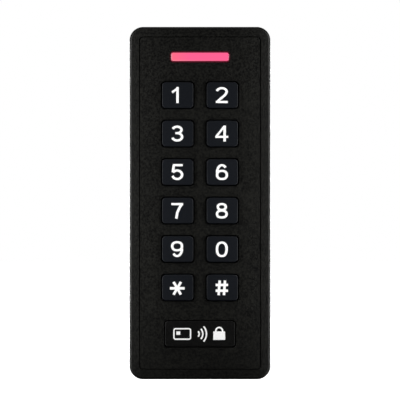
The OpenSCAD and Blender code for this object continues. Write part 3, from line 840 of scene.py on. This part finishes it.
def block_outline(x0, x1, z0, z1, radius=0.2):
    """Outline function of a rectangle with those limits."""
    return lambda inset: round_rect(x1 - x0 - 2 * inset, z1 - z0 - 2 * inset, max(radius - inset, 0.05),
                                    (x0 + x1) / 2, (z0 + z1) / 2, 3)


def disc(x=0.0, z=0.0, sides=40):
    """Outline function of a circle, whose inset is its radius."""
    return lambda radius: circle(radius, x, z, sides)


# ------------------------------------------------------------------ rear cover, wall plate and seal

HOOK_X = 9.0
HOOK_W = 7.0
HOOK_FOOT = 47.2
HOOK_STEM = 2.4
HOOK_LIP = 2.5
HOOK_FRONT = -8.5
HOOK_LIP_BACK = COVER_FRONT - 0.3
PLATE_T = 2.0
RIM_W = 1.8
RIM_FRONT = SEAM + 0.05
WALL_SCREW = 41.65
WALL_HOLE = 2.25
OUTLET = (18.0, 34.0)


def rear_cover():
    """The lid over the chamber, with two pockets for the plate's hooks."""
    cast = Casting()
    cover = rectangle("rear_cover", 2.5, 8)
    front, back = cast.wall(cover, edged(COVER_FRONT, COVER_BACK, 0.2))
    tamper = middle("tamper_window")
    neck = span("cable_grommet").x / 2 - 1.3
    holes = [(x, z, 1.35) for x, z in BOSSES] + [(0, 0, neck + 0.05), (tamper.x, tamper.z, 3.0)]
    front_holes, back_holes = [], []
    for x, z, r in holes:
        near, far = cast.wall(disc(x, z), [(r + 0.15, COVER_FRONT), (r, COVER_FRONT + 0.15),
                                           (r, COVER_BACK - 0.15), (r + 0.15, COVER_BACK)])
        front_holes.append(near)
        back_holes.append(far)
    mouth_low, mouth_high = HOOK_FOOT - 2.8, HOOK_FOOT + HOOK_STEM + 0.3
    cave_high = HOOK_FOOT + HOOK_STEM + HOOK_LIP + 0.8
    cave_front = HOOK_FRONT - 0.5
    for side in (-1, 1):
        x0, x1 = side * HOOK_X - HOOK_W / 2 - 1, side * HOOK_X + HOOK_W / 2 + 1
        back_holes.append(cast.elbow(x0, x1, [(COVER_BACK, mouth_low), (cave_front, mouth_low),
                                              (cave_front, cave_high), (COVER_FRONT, cave_high),
                                              (COVER_FRONT, mouth_high), (COVER_BACK, mouth_high)]))
        pocket = block_outline(x0 - 1.2, x1 + 1.2, mouth_low - 1.2, cave_high + 1.2, 0.5)
        foot, top = cast.wall(pocket, [(0, COVER_FRONT), (0, cave_front - 1), (0.2, cave_front - 1.2)])
        cast.flat(top)
        front_holes.append(foot)
    cast.flat(front, *front_holes)
    cast.flat(back, *back_holes)
    cast.piece("rear_cover_lid", INNER_ABS, "inner_abs", ["rear_cover"])


def wall_plate():
    """The plate that is screwed to the wall: rim, two hooks at the top and the screw lug at the bottom."""
    cast = Casting()
    floor_y = -PLATE_T
    steps = [(0.25, 0), (0, -0.25), (0, RIM_FRONT + 0.2), (0.2, RIM_FRONT), (RIM_W - 0.15, RIM_FRONT),
             (RIM_W, RIM_FRONT + 0.15), (RIM_W, floor_y - 0.3), (RIM_W + 0.3, floor_y)]
    back, floor_edge = cast.wall(body_outline, steps)
    back_holes, floor_holes = [], []
    for z in (-WALL_SCREW, WALL_SCREW):
        far, near = cast.wall(disc(0, z), [(WALL_HOLE + 0.25, 0), (WALL_HOLE, -0.25),
                                           (WALL_HOLE, floor_y + 0.35), (WALL_HOLE + 0.35, floor_y)])
        back_holes.append(far)
        floor_holes.append(near)
    outlet = block_outline(-OUTLET[0] / 2, OUTLET[0] / 2, -OUTLET[1] / 2, OUTLET[1] / 2, 3)
    far, near = cast.wall(outlet, [(-0.25, 0), (0, -0.25), (0, floor_y + 0.25), (-0.25, floor_y)])
    back_holes.append(far)
    floor_holes.append(near)
    stem_high, lip_high = HOOK_FOOT + HOOK_STEM, HOOK_FOOT + HOOK_STEM + HOOK_LIP
    for side in (-1, 1):
        floor_holes.append(cast.elbow(side * HOOK_X - HOOK_W / 2, side * HOOK_X + HOOK_W / 2, [
            (floor_y, HOOK_FOOT), (HOOK_FRONT + 0.4, HOOK_FOOT), (HOOK_FRONT, HOOK_FOOT + 0.4),
            (HOOK_FRONT, lip_high - 0.6), (HOOK_FRONT + 0.5, lip_high), (HOOK_LIP_BACK, lip_high),
            (HOOK_LIP_BACK, stem_high), (floor_y, stem_high)]))
    lug_front = box("wall_plate")[0].y
    insert, size = middle("plate_insert"), span("plate_insert")
    lug_low, lug_high = insert.z - size.z / 2 - 0.1, insert.z + size.z / 2 + 0.1
    lug = [(-6, lug_low), (6, lug_low), (6, lug_high), (-6, lug_high)]
    foot, front = cast.wall(lambda inset: [(x - math.copysign(inset, x), z) for x, z in lug],
                            [(0, floor_y), (0, lug_front + 0.3), (0.3, lug_front)])
    cast.flat(front)
    floor_holes.append(foot)
    cast.flat(back, *back_holes)
    cast.flat(floor_edge, *floor_holes)
    hole = size.x / 2 + 0.05
    cast.pierce(0, insert.y, [(hole, lug_low), (hole, lug_high)])
    cast.piece("mounting_plate", HOUSING, "housing_abs", ["wall_plate"])


def housing_seal():
    cast = Casting()
    front, back = SEAL_FRONT, COVER_FRONT
    cast.hoop(rectangle("housing_seal", 2.5, 8), [(0.3, front), (0.7, front), (1, front + 0.3),
                                                  (1, back - 0.2), (0.8, back), (0.2, back), (0, back - 0.2),
                                                  (0, front + 0.3)])
    cast.piece("seal_ring", RUBBER, "seal_rubber", ["housing_seal"])


def cable_grommet():
    """A bush with a rounded flange on each side of the lid and a ribbed bore."""
    cast = Casting()
    low, high = box("cable_grommet")
    bore = 3.0
    flange = (high.x - low.x) / 2
    neck = flange - 1.3
    steps = [(bore + 0.35, low.y), (flange - 0.4, low.y), (flange - 0.1, low.y + 0.15), (flange, low.y + 0.5),
             (flange, COVER_FRONT), (neck, COVER_FRONT), (neck, COVER_BACK), (flange, COVER_BACK),
             (flange, high.y - 0.4), (flange - 0.15, high.y - 0.12), (flange - 0.5, high.y),
             (bore + 0.35, high.y), (bore, high.y - 0.35)]
    ribs = 4
    for i in range(ribs):
        y = high.y - 0.7 - i * (high.y - low.y - 1.1) / ribs
        steps += [(bore, y), (bore + 0.22, y - 0.3), (bore, y - 0.6)]
    steps.append((bore, low.y + 0.35))
    cast.hoop(disc(0, 0, 48), steps)
    cast.piece("cable_bush", RUBBER, "seal_rubber", ["cable_grommet"])


def tamper_window():
    cast = Casting()
    low, high = box("tamper_window")
    at = middle("tamper_window")
    flange = (high.x - low.x) / 2
    neck = flange - 1
    cast.solid(disc(at.x, at.z), [(flange - 0.15, low.y), (flange, low.y + 0.15), (flange, COVER_FRONT - 0.1),
                                  (flange - 0.1, COVER_FRONT), (neck, COVER_FRONT), (neck, high.y - 0.15),
                                  (neck - 0.15, high.y)])
    cast.piece("tamper_light_pipe", CLEAR, "clear_plastic", ["tamper_window"])


rear_cover()
wall_plate()
housing_seal()
cable_grommet()
tamper_window()


# ------------------------------------------------------------------ behind the keys

MAT_FRONT = BOARD_FRONT - 1.0
DOME_FOOT = 4.2
DOME_TOP = 2.6
PILL = 1.45


def keypad_mat():
    """The sheet, with an opening under each dome."""
    cast = Casting()
    front, back = cast.wall(rectangle("keypad_mat", 2, 8), edged(MAT_FRONT, BOARD_FRONT, 0.2))
    near, far = [], []
    for at in KEY_AT.values():
        a, b = cast.wall(disc(at.x, at.z), [(DOME_FOOT - 0.55, MAT_FRONT), (DOME_FOOT - 0.75, BOARD_FRONT)])
        near.append(a)
        far.append(b)
    cast.flat(front, *near)
    cast.flat(back, *far)
    cast.piece("mat_sheet", SILICONE, "silicone", ["keypad_mat"])


def dome(key):
    """A thin cone under the key, and the plunger with its carbon pill, which move with the key."""
    at = KEY_AT[key]
    top = box("keycap_" + key)[1].y
    web = 0.55
    cap_t = 0.4
    cast = Casting()
    cast.solid(disc(at.x, at.z), [(DOME_TOP - 0.5, top + cap_t), (DOME_FOOT - web, MAT_FRONT),
                                  (DOME_FOOT, MAT_FRONT), (DOME_FOOT - 0.15, MAT_FRONT - 0.25),
                                  (DOME_TOP + 0.1, top + 0.25), (DOME_TOP - 0.1, top + 0.05),
                                  (DOME_TOP - 0.3, top)])
    name = "mat_dome_" + key
    mesh = cast.mesh(name)
    mesh.shade_smooth()
    mesh.materials.append(SILICONE)
    piece = bpy.data.objects.new(name, mesh)
    bpy.context.scene.collection.objects.link(piece)
    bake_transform(piece)

    pill_front = MAT_FRONT - 0.18
    cast = Casting()
    cast.solid(disc(at.x, at.z), [(PILL, top + cap_t - 0.1), (PILL - 0.05, pill_front)])
    cast.piece("plunger_" + key, SILICONE, "silicone", body="key_" + key)
    cast = Casting()
    cast.solid(disc(at.x, at.z), [(PILL, pill_front), (PILL, MAT_FRONT - 0.03), (PILL - 0.05, MAT_FRONT)])
    cast.piece("contact_pill_" + key, CARBON, "black_case", body="key_" + key)


def key_contacts():
    """Two half pads under each pill, with a gap between them."""
    cast = Casting()
    low, high = box("key_contacts")
    radius = 2.2
    for side in (0, 180):
        half = arc(0.2 if side else -0.2, 0, radius - 0.2, radius, 90 + side, 270 + side, 16)
        cast.solid(lambda inset: half, [(0, low.y), (0, high.y)])
    first, second, last = KEY_AT["1"], KEY_AT["2"], KEY_AT["hash"]
    centre = (first + last) / 2
    rows = len(KEYS) // 2
    pitch_z = (first.z - last.z) / (rows - 1)
    rows_of("key_pads", cast, 2, rows, second.x - first.x, pitch_z, centre.x, centre.z, GOLD,
            ["key_contacts"])


def indicator_leds():
    """Three lamp packages with a round bowl in each."""
    cast = Casting()
    low, high = box("indicator_leds")
    w, h = 2.8, high.z - low.z
    package = block_outline(-w / 2, w / 2, -h / 2, h / 2, 0.15)
    front, back = cast.wall(package, [(0.05, low.y), (0, low.y + 0.05), (0, high.y)])
    bowl, bottom = cast.wall(disc(0, 0, 24), [(0.62, low.y), (0.42, low.y + 0.3)])
    cast.flat(back)
    cast.flat(bottom)
    cast.flat(front, bowl)
    at = middle("indicator_leds")
    pitch_x = (high.x - low.x - w) / 2
    rows_of("lamps", cast, 3, 1, pitch_x, 0, at.x, at.z, WHITE_PLASTIC, ["indicator_leds"])


def light_shroud():
    cast = Casting()
    low, high = box("light_shroud")
    wall_t = 1.0
    cast.hoop(rectangle("light_shroud", 1.2, 6), edged(low.y, high.y, 0.12)
              + [(wall_t, high.y), (wall_t - 0.15, low.y)])
    cast.piece("light_box", WHITE_PLASTIC, "white_plastic", ["light_shroud"])


def main_board():
    """The board, notched for the case bosses, with a hole at each post."""
    cast = Casting()
    low, high = box("main_board")
    notch_w = 5.8
    notch_high = BOSSES[1][1] - 3.0
    notch_low = BOSSES[0][1] + 3.0
    xs = (low.x, low.x + notch_w, high.x - notch_w, high.x)
    outline = [(xs[0], notch_low), (xs[1], notch_low), (xs[1], low.z), (xs[2], low.z), (xs[2], notch_low),
               (xs[3], notch_low), (xs[3], notch_high), (xs[2], notch_high), (xs[2], high.z), (xs[1], high.z),
               (xs[1], notch_high), (xs[0], notch_high)]
    front, back = cast.wall(lambda inset: outline, [(0, BOARD_FRONT), (0, BOARD_BACK)])
    near, far = [], []
    for x, z in POSTS:
        a, b = cast.wall(disc(x, z, 24), [(1.1, BOARD_FRONT), (1.1, BOARD_BACK)])
        near.append(a)
        far.append(b)
    cast.flat(front, *near)
    cast.flat(back, *far)
    cast.piece("circuit_board", BOARD, "board_laminate", ["main_board"])


keypad_mat()
for key in KEYS:
    dome(key)
key_contacts()
indicator_leds()
light_shroud()
main_board()


# ------------------------------------------------------------------ behind the board

FORMER_WALL = 0.8
FORMER_FLANGE = 0.6
FORMER_RING = 2.5


def coil_former():
    low, high = box("coil_former")
    core = FORMER_RING - FORMER_WALL
    cast = Casting()
    cast.hoop(rectangle("coil_former", 4, 8), [
        (0.1, low.y), (0, low.y + 0.1), (0, low.y + FORMER_FLANGE), (core, low.y + FORMER_FLANGE),
        (core, high.y - FORMER_FLANGE), (0, high.y - FORMER_FLANGE), (0, high.y - 0.1), (0.1, high.y),
        (FORMER_RING, high.y), (FORMER_RING, low.y)])
    cast.piece("coil_bobbin", IVORY, "ivory_plastic", ["coil_former"])


def antenna_coil():
    """Layers of enamelled wire, wound side by side round the former."""
    low, high = box("antenna_coil")
    size, at = high - low, (low + high) / 2
    wire, build = 0.22, 1.4
    turns, layers = int(size.y / wire), int(build / wire)
    tree = Tree("winding", Width=(size.x - wire) * MM, Height=(size.z - wire) * MM, Corner=3.6 * MM,
                Wire=wire * MM, Turns=turns, Layers=layers, Centre=tuple(at * MM), Material=COPPER)
    given = tree.given

    def maths(operation, a, b=0.0):
        return tree.add("ShaderNodeMath", {0: a, 1: b}, operation=operation)

    number = tree.add("GeometryNodeInputIndex")
    layer = maths("MODULO", number, given["Layers"])
    turn = maths("FLOOR", maths("DIVIDE", number, given["Layers"]))
    centred = maths("SUBTRACT", turn, maths("MULTIPLY", maths("SUBTRACT", given["Turns"], 1.0), 0.5))
    place = tree.add("ShaderNodeCombineXYZ", {"Y": maths("MULTIPLY", centred, given["Wire"])})
    points = tree.add("GeometryNodePoints", {"Count": maths("MULTIPLY", given["Turns"], given["Layers"]),
                                             "Position": place})
    inward = maths("MULTIPLY", layer, maths("MULTIPLY", given["Wire"], 2.0))
    shrink = {side: maths("SUBTRACT", 1.0, maths("DIVIDE", inward, given[side]))
              for side in ("Width", "Height")}
    scale = tree.add("ShaderNodeCombineXYZ", {"X": shrink["Width"], "Y": 1.0, "Z": shrink["Height"]})
    loop = tree.add("GeometryNodeCurvePrimitiveQuadrilateral",
                    {"Width": given["Width"], "Height": given["Height"]})
    round_loop = tree.add("GeometryNodeFilletCurve", {"Curve": loop, "Count": 6, "Radius": given["Corner"]},
                          mode="POLY")
    upright = tree.add("GeometryNodeTransform", {"Geometry": round_loop, "Rotation": (math.pi / 2, 0, 0)})
    loops = tree.add("GeometryNodeInstanceOnPoints", {"Points": points, "Instance": upright, "Scale": scale})
    wires = tree.add("GeometryNodeRealizeInstances", {"Geometry": loops})
    section = tree.add("GeometryNodeCurvePrimitiveCircle",
                       {"Resolution": 6, "Radius": maths("MULTIPLY", given["Wire"], 0.48)})
    tube = tree.add("GeometryNodeCurveToMesh", {"Curve": wires, "Profile Curve": section})
    placed = tree.add("GeometryNodeTransform", {"Geometry": tube, "Translation": given["Centre"]})
    fit_out("antenna_winding", tree.mesh(placed), COPPER, ["antenna_coil"])


def buzzer():
    at = middle("buzzer")
    low, high = box("buzzer")
    r, hole = (high.x - low.x) / 2, 1.0
    cast = Casting()
    cast.solid(disc(at.x, at.z, 48), [(r - 0.2, low.y), (r, low.y + 0.2), (r, high.y - 0.5),
                                      (r - 0.15, high.y - 0.2), (r - 0.5, high.y), (hole + 0.3, high.y),
                                      (hole, high.y - 0.3), (hole, high.y - 1.4)])
    cast.piece("sounder", BLACK_CASE, "black_case", ["buzzer"])


def control_chip():
    """An epoxy body with a corner dimple, and a row of bent legs on each side."""
    low, high = box("control_chip")
    at = middle("control_chip")
    half, standoff, dimple_in = 5.0, 0.15, 1.3
    legs, pitch, leg_t, leg_w = 13, 0.72, 0.14, 0.28
    cast = Casting()
    body = block_outline(at.x - half, at.x + half, at.z - half, at.z + half, 0.15)
    mid = (low.y + high.y) / 2
    foot, top = cast.wall(body, [(0.35, low.y + standoff), (0, mid), (0.35, high.y)])
    dimple_at = disc(at.x - half + dimple_in, at.z + half - dimple_in, 20)
    dimple, bottom = cast.wall(dimple_at, [(0.5, high.y), (0.4, high.y - 0.12)])
    cast.flat(foot)
    cast.flat(bottom)
    cast.flat(top, dimple)
    cast.piece("chip_body", BLACK_CASE, "black_case", ["control_chip"])
    reach = (high.x - low.x) / 2
    for side in (-1, 1):
        bent = [(half - 0.3, mid), (half + 0.3, mid), (half + 0.45, low.y), (reach, low.y),
                (reach, low.y + leg_t), (half + 0.6, low.y + leg_t), (half + 0.45, mid + leg_t),
                (half - 0.3, mid + leg_t)]
        cast = Casting()
        outline = [(at.x + side * x, y) for x, y in bent]
        rings = [cast.level_ring(outline, z) for z in (-leg_w / 2, leg_w / 2)]
        cast.skin(*rings)
        for ring in rings:
            cast.bm.faces.new(ring)
        name = "chip_legs_left" if side < 0 else "chip_legs_right"
        rows_of(name, cast, 1, legs, 0, pitch, 0, at.z, STEEL)


def wire_header():
    """A socket with ten wells, and a spring clamp in each."""
    low, high = box("wire_header")
    at = middle("wire_header")
    ways, pitch, well = 10, 2.2, (1.6, 3.6)
    cast = Casting()
    foot, top = cast.wall(block_outline(low.x, high.x, low.z, high.z, 0.4),
                          [(0, low.y), (0, high.y - 0.25), (0.25, high.y)])
    mouths = []
    for i in range(ways):
        x = at.x + (i - (ways - 1) / 2) * pitch
        slot = block_outline(x - well[0] / 2, x + well[0] / 2, at.z - well[1] / 2, at.z + well[1] / 2, 0.2)
        mouth, bottom = cast.wall(slot, [(-0.1, high.y), (0, high.y - 0.2), (0, low.y + 2.2)])
        cast.flat(bottom)
        mouths.append(mouth)
    cast.flat(foot)
    cast.flat(top, *mouths)
    cast.piece("wire_socket", IVORY, "ivory_plastic", ["wire_header"])
    cast = Casting()
    for side in (-1, 1):
        blade = block_outline(-0.55, 0.55, side * 1.1 - 0.3, side * 1.1 + 0.3, 0.1)
        cast.solid(blade, [(0, low.y + 2.1), (0, high.y - 1.6), (0.2, high.y - 1.2)])
    rows_of("wire_clamps", cast, ways, 1, pitch, 0, at.x, at.z, BRASS)


def chip_row(name, columns, rows, pitch, x, z, size, upright, material, stands_for=()):
    """A row of small parts of that width, length and height: a body each, and a metal cap on both ends."""
    half_w, half_l, high = size[0] / 2, size[1] / 2, BOARD_BACK + size[2]
    cap_l = 0.35

    def place(x0, x1, z0, z1):
        return block_outline(x0, x1, z0, z1, 0.08) if upright else block_outline(z0, z1, x0, x1, 0.08)

    cast = Casting()
    cast.solid(place(-half_w + 0.05, half_w - 0.05, -half_l + cap_l, half_l - cap_l),
               [(0, BOARD_BACK + 0.05), (0, high - 0.1), (0.05, high - 0.05)])
    rows_of(name, cast, columns, rows, pitch, pitch, x, z, material, stands_for)
    caps = Casting()
    for side in (-1, 1):
        near, far = sorted((side * half_l, side * (half_l - cap_l - 0.04)))
        caps.solid(place(-half_w, half_w, near, far), [(0, BOARD_BACK), (0, high - 0.05), (0.05, high)])
    rows_of(name + "_ends", caps, columns, rows, pitch, pitch, x, z, STEEL)


def lone_part(name, x0, x1, z0, z1, height, soft, material, slot):
    """One block on the back of the board, with its top edge softened."""
    cast = Casting()
    top = BOARD_BACK + height
    cast.solid(block_outline(x0, x1, z0, z1, soft + 0.05),
               [(0.05, BOARD_BACK), (0, BOARD_BACK + 0.05), (0, top - soft),
                (soft * 0.3, top - soft * 0.3), (soft, top)])
    cast.piece(name, material, slot)


def capacitor_cans():
    """Two aluminium cans in dark sleeves, rolled in near the foot, with a bare top."""
    sleeves, tops = Casting(), Casting()
    r = 2.6
    for x, z, height in ((12.5, 28, 5.4), (4.5, 35, 2.8)):
        foot, top = BOARD_BACK, BOARD_BACK + height
        sleeves.solid(disc(x, z, 36), [(r - 0.1, foot), (r, foot + 0.1), (r, foot + 0.55),
                                       (r - 0.15, foot + 0.75), (r, foot + 0.95), (r, top - 0.25),
                                       (r - 0.15, top - 0.08), (r - 0.4, top - 0.06)])
        tops.solid(disc(x, z, 36), [(r - 0.4, top - 0.2), (r - 0.4, top - 0.05), (r - 0.5, top)])
    sleeves.piece("capacitor_sleeves", SLEEVE, "small_parts")
    tops.piece("capacitor_tops", STEEL, "steel")


def board_parts():
    chip_row("row_resistors", columns=8, rows=1, pitch=2.6, x=-0.3, z=-41.5, size=(1.2, 2, 0.6),
             upright=True, material=BLACK_CASE, stands_for=["board_parts"])
    chip_row("side_resistors", columns=1, rows=6, pitch=2.4, x=14.8, z=-19.85, size=(1.3, 1.6, 0.6),
             upright=False, material=BLACK_CASE)
    chip_row("chip_capacitors", columns=5, rows=1, pitch=2.4, x=2.4, z=-4.5, size=(1.2, 2, 0.5),
             upright=True, material=TAN_CERAMIC)
    lone_part("regulator", x0=4.5, x1=9.5, z0=-16, z1=-9.5, height=1.6, soft=0.2,
              material=BLACK_CASE, slot="black_case")
    lone_part("crystal_can", x0=-4, x1=1, z0=26, z1=30, height=1.1, soft=0.35,
              material=STEEL, slot="steel")
    lone_part("relay", x0=-14.5, x1=-5.5, z0=3, z1=7, height=3, soft=0.25,
              material=RELAY_BLUE, slot="small_parts")
    capacitor_cans()


def tamper_sensor():
    at = middle("tamper_sensor")
    low, high = box("tamper_sensor")
    cast = Casting()
    r = (high.x - low.x) / 2
    cast.solid(disc(at.x, at.z), [(r - 0.3, low.y), (r, low.y + 0.3), (r, high.y - 0.15), (r - 0.15, high.y)])
    cast.piece("light_sensor", CERAMIC, "sensor_ceramic", ["tamper_sensor"])


coil_former()
antenna_coil()
buzzer()
control_chip()
wire_header()
board_parts()
tamper_sensor()


# ------------------------------------------------------------------ fasteners

def thread(radius, pitch, y, sides=24):
    """One ring of a screw thread: its crest turns once round in each pitch."""
    points = []
    for i in range(sides):
        turn = math.tau * i / sides
        wave = abs(((y / pitch + i / sides) % 1) * 2 - 1)
        r = radius * (1 - 0.2 * wave)
        points.append((r * math.cos(turn), r * math.sin(turn)))
    return points


def cross(arm, half):
    """Outline of a cross recess."""
    corner = [(arm, -half), (arm, half), (half, half)]
    points = []
    for i in range(4):
        c, s = ((1, 0), (0, 1), (-1, 0), (0, -1))[i]
        points += [(x * c - z * s, x * s + z * c) for x, z in corner]
    return points


def pan_screw(head_r, seat, top, shank_r, tip, arm):
    """A pan head screw along Y about the origin, with a cross recess in its head."""
    cast = Casting()
    pitch = 0.7
    count = int((seat - tip - 1.4) / (pitch / 5))
    rings = [cast.ring(thread(shank_r * 0.35, pitch, tip), tip)]
    for i in range(count + 1):
        y = tip + 0.7 + i * (seat - tip - 1.4) / count
        rings.append(cast.ring(thread(shank_r, pitch, y), y))
    rings += [cast.ring(circle(r, steps=24), y) for r, y in
              ((shank_r * 0.85, seat - 0.4), (shank_r * 0.85, seat), (head_r, seat), (head_r, top - 0.7),
               (head_r * 0.94, top - 0.3), (head_r * 0.8, top - 0.08), (head_r * 0.66, top))]
    cast.skin(*rings)
    cast.flat(rings[0])
    mouth, bottom = cast.ring(cross(arm, 0.27), top), cast.ring(cross(arm * 0.55, 0.16), top - 0.65)
    cast.skin(mouth, bottom)
    cast.flat(bottom)
    cast.flat(rings[-1], mouth)
    return cast


def four_screws(name, node, places, head_r, seat, shank_r, arm):
    low, high = box(node)
    (x0, z0), (x1, z1) = places[0], places[-1]
    rows_of(name, pan_screw(head_r, seat, high.y, shank_r, low.y, arm), 2, 2, x1 - x0, z1 - z0,
            (x0 + x1) / 2, (z0 + z1) / 2, STEEL, [node])


def security_screw():
    """A button head with a pin in its six-sided socket, driven up from below."""
    low, high = box("security_screw")
    at = middle("security_screw")
    head_r = (high.x - low.x) / 2
    head_t, shank_r, socket_r, socket_d, pin_r, pitch = 1.4, 1.45, 1.3, 1.0, 0.4, 0.6
    cast = Casting()

    def round_ring(radius, z):
        return cast.level_ring(circle(radius, at.x, at.y, 24), z)

    seat = low.z + head_t
    thread_foot, thread_l = seat + 0.7, high.z - seat - 1.2
    shank = [round_ring(shank_r * 0.85, seat), round_ring(shank_r * 0.85, seat + 0.5)]
    count = int(thread_l / (pitch / 5))
    for i in range(count + 1):
        z = thread_foot + i * thread_l / count
        shank.append(cast.level_ring([(at.x + x, at.y + y) for x, y in thread(shank_r, pitch, z)], z))
    shank.append(round_ring(shank_r * 0.5, high.z))
    dome = [round_ring(head_r * part, low.z + up)
            for part, up in ((0.62, 0), (0.82, 0.1), (0.95, 0.4), (1, 0.75))]
    cast.skin(*dome, round_ring(head_r, seat), *shank)
    cast.flat(shank[-1])
    hexagon = circle(socket_r, at.x, at.y, 6)
    mouth, bottom = cast.level_ring(hexagon, low.z), cast.level_ring(hexagon, low.z + socket_d)
    pin = [round_ring(pin_r, low.z + socket_d), round_ring(pin_r, low.z + 0.2),
           round_ring(pin_r * 0.7, low.z + 0.1)]
    cast.skin(mouth, bottom)
    cast.skin(*pin)
    cast.flat(pin[-1])
    cast.flat(bottom, pin[0])
    cast.flat(dome[0], mouth)
    cast.piece("pin_screw", STEEL, "steel", ["security_screw"])


def plate_insert():
    """A knurled brass bush in the plate's lug."""
    low, high = box("plate_insert")
    at = middle("plate_insert")
    outer, bore, teeth = (high.x - low.x) / 2, 1.5, 24
    cast = Casting()

    def ring(radius, z, knurl=0.0):
        outline = []
        for i in range(teeth * 2):
            turn, r = math.pi * i / teeth, radius - knurl * (i % 2)
            outline.append((at.x + r * math.cos(turn), at.y + r * math.sin(turn)))
        return cast.level_ring(outline, z)

    waist = [(low.z, 0.15, 0), (low.z + 0.3, 0, 0.12), (at.z - 0.5, 0, 0.12), (at.z - 0.4, 0.25, 0),
             (at.z + 0.4, 0.25, 0), (at.z + 0.5, 0, 0.12), (high.z - 0.3, 0, 0.12), (high.z, 0.15, 0)]
    rings = [ring(outer - cut, z, knurl) for z, cut, knurl in waist]
    rings += [ring(bore + 0.15, high.z), ring(bore, high.z - 0.15), ring(bore, low.z + 0.15),
              ring(bore + 0.15, low.z)]
    cast.skin(*rings, rings[0])
    cast.piece("knurled_insert", BRASS, "brass", ["plate_insert"])


four_screws("lid_screws", "case_screws", BOSSES, CASE_SCREW_HEAD, COVER_BACK, 1.1, 1.2)
four_screws("board_fixings", "board_screws", POSTS, BOARD_SCREW_HEAD, BOARD_BACK, 0.8, 1.0)
security_screw()
plate_insert()


# ------------------------------------------------------------------ stage, lights and camera

def floor():
    low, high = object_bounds()
    mesh = bpy.data.meshes.new("floor")
    reach, z = 3.0, low.z - 0.0001
    corners = [(-reach, -reach, z), (reach, -reach, z), (reach, reach, z), (-reach, reach, z)]
    mesh.from_pydata(corners, [], [(0, 1, 2, 3)])
    ground = bpy.data.objects.new("floor", mesh)
    bpy.context.scene.collection.objects.link(ground)
    finish = Finish("pale_floor", Roughness=0.9, Base_Color=(0.85, 0.85, 0.85, 1), Specular_IOR_Level=0.0,
                    Emission_Color=(1, 1, 1, 1), Emission_Strength=0.97)
    mesh.materials.append(finish.material)
    ground.visible_diffuse = False
    ground.visible_glossy = False
    ground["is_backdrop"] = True


def softbox(name, place, aim, width, height, power):
    data = bpy.data.lights.new(name, "AREA")
    data.shape = "RECTANGLE"
    data.size, data.size_y, data.energy = width, height, power
    light = bpy.data.objects.new(name, data)
    light.location = place
    light.rotation_euler = (Vector(aim) - Vector(place)).to_track_quat("-Z", "Y").to_euler()
    light.visible_camera = False
    bpy.context.scene.collection.objects.link(light)


def surroundings():
    """White to the eye, and dim as a light."""
    world = bpy.data.worlds.new("studio")
    world.use_nodes = True
    bpy.context.scene.world = world
    nodes, links = world.node_tree.nodes, world.node_tree.links
    dim = nodes["Background"]
    dim.inputs["Color"].default_value = (1, 1, 1, 1)
    dim.inputs["Strength"].default_value = 0.05
    white = nodes.new("ShaderNodeBackground")
    white.inputs["Color"].default_value = (1, 1, 1, 1)
    white.inputs["Strength"].default_value = 1.0
    seen = nodes.new("ShaderNodeLightPath")
    mix = nodes.new("ShaderNodeMixShader")
    links.new(seen.outputs["Is Camera Ray"], mix.inputs["Fac"])
    links.new(dim.outputs["Background"], mix.inputs[1])
    links.new(white.outputs["Background"], mix.inputs[2])
    links.new(mix.outputs["Shader"], nodes["World Output"].inputs["Surface"])


def camera():
    low, high = cad_box
    distance = 1.6
    shown = 0.14184
    raised = 0.0011
    data = bpy.data.cameras.new("camera")
    data.sensor_width = 36
    data.lens = data.sensor_width * distance / shown
    data.clip_start = 0.05
    eye = bpy.data.objects.new("camera", data)
    centre = (low + high) / 2
    eye.location = (centre.x, FRONT * MM - distance, centre.z + raised)
    eye.rotation_euler = (math.radians(90), 0, 0)
    bpy.context.scene.collection.objects.link(eye)
    bpy.context.scene.camera = eye


floor()
surroundings()
for side in (-1, 1):
    softbox("side_light", place=(side * 0.057, -0.05, -0.001), aim=(side * 0.015, FRONT * MM, -0.001),
            width=0.015, height=0.165, power=0.092)
    softbox("back_light", place=(side * 0.5, 0.6, 0.0), aim=(0, 0, 0), width=0.5, height=0.1, power=7)
softbox("top_light", place=(0, -0.25, 0.6), aim=(0, 0, 0), width=0.5, height=0.4, power=0.6)
camera()
bpy.context.scene.view_settings.view_transform = "Standard"
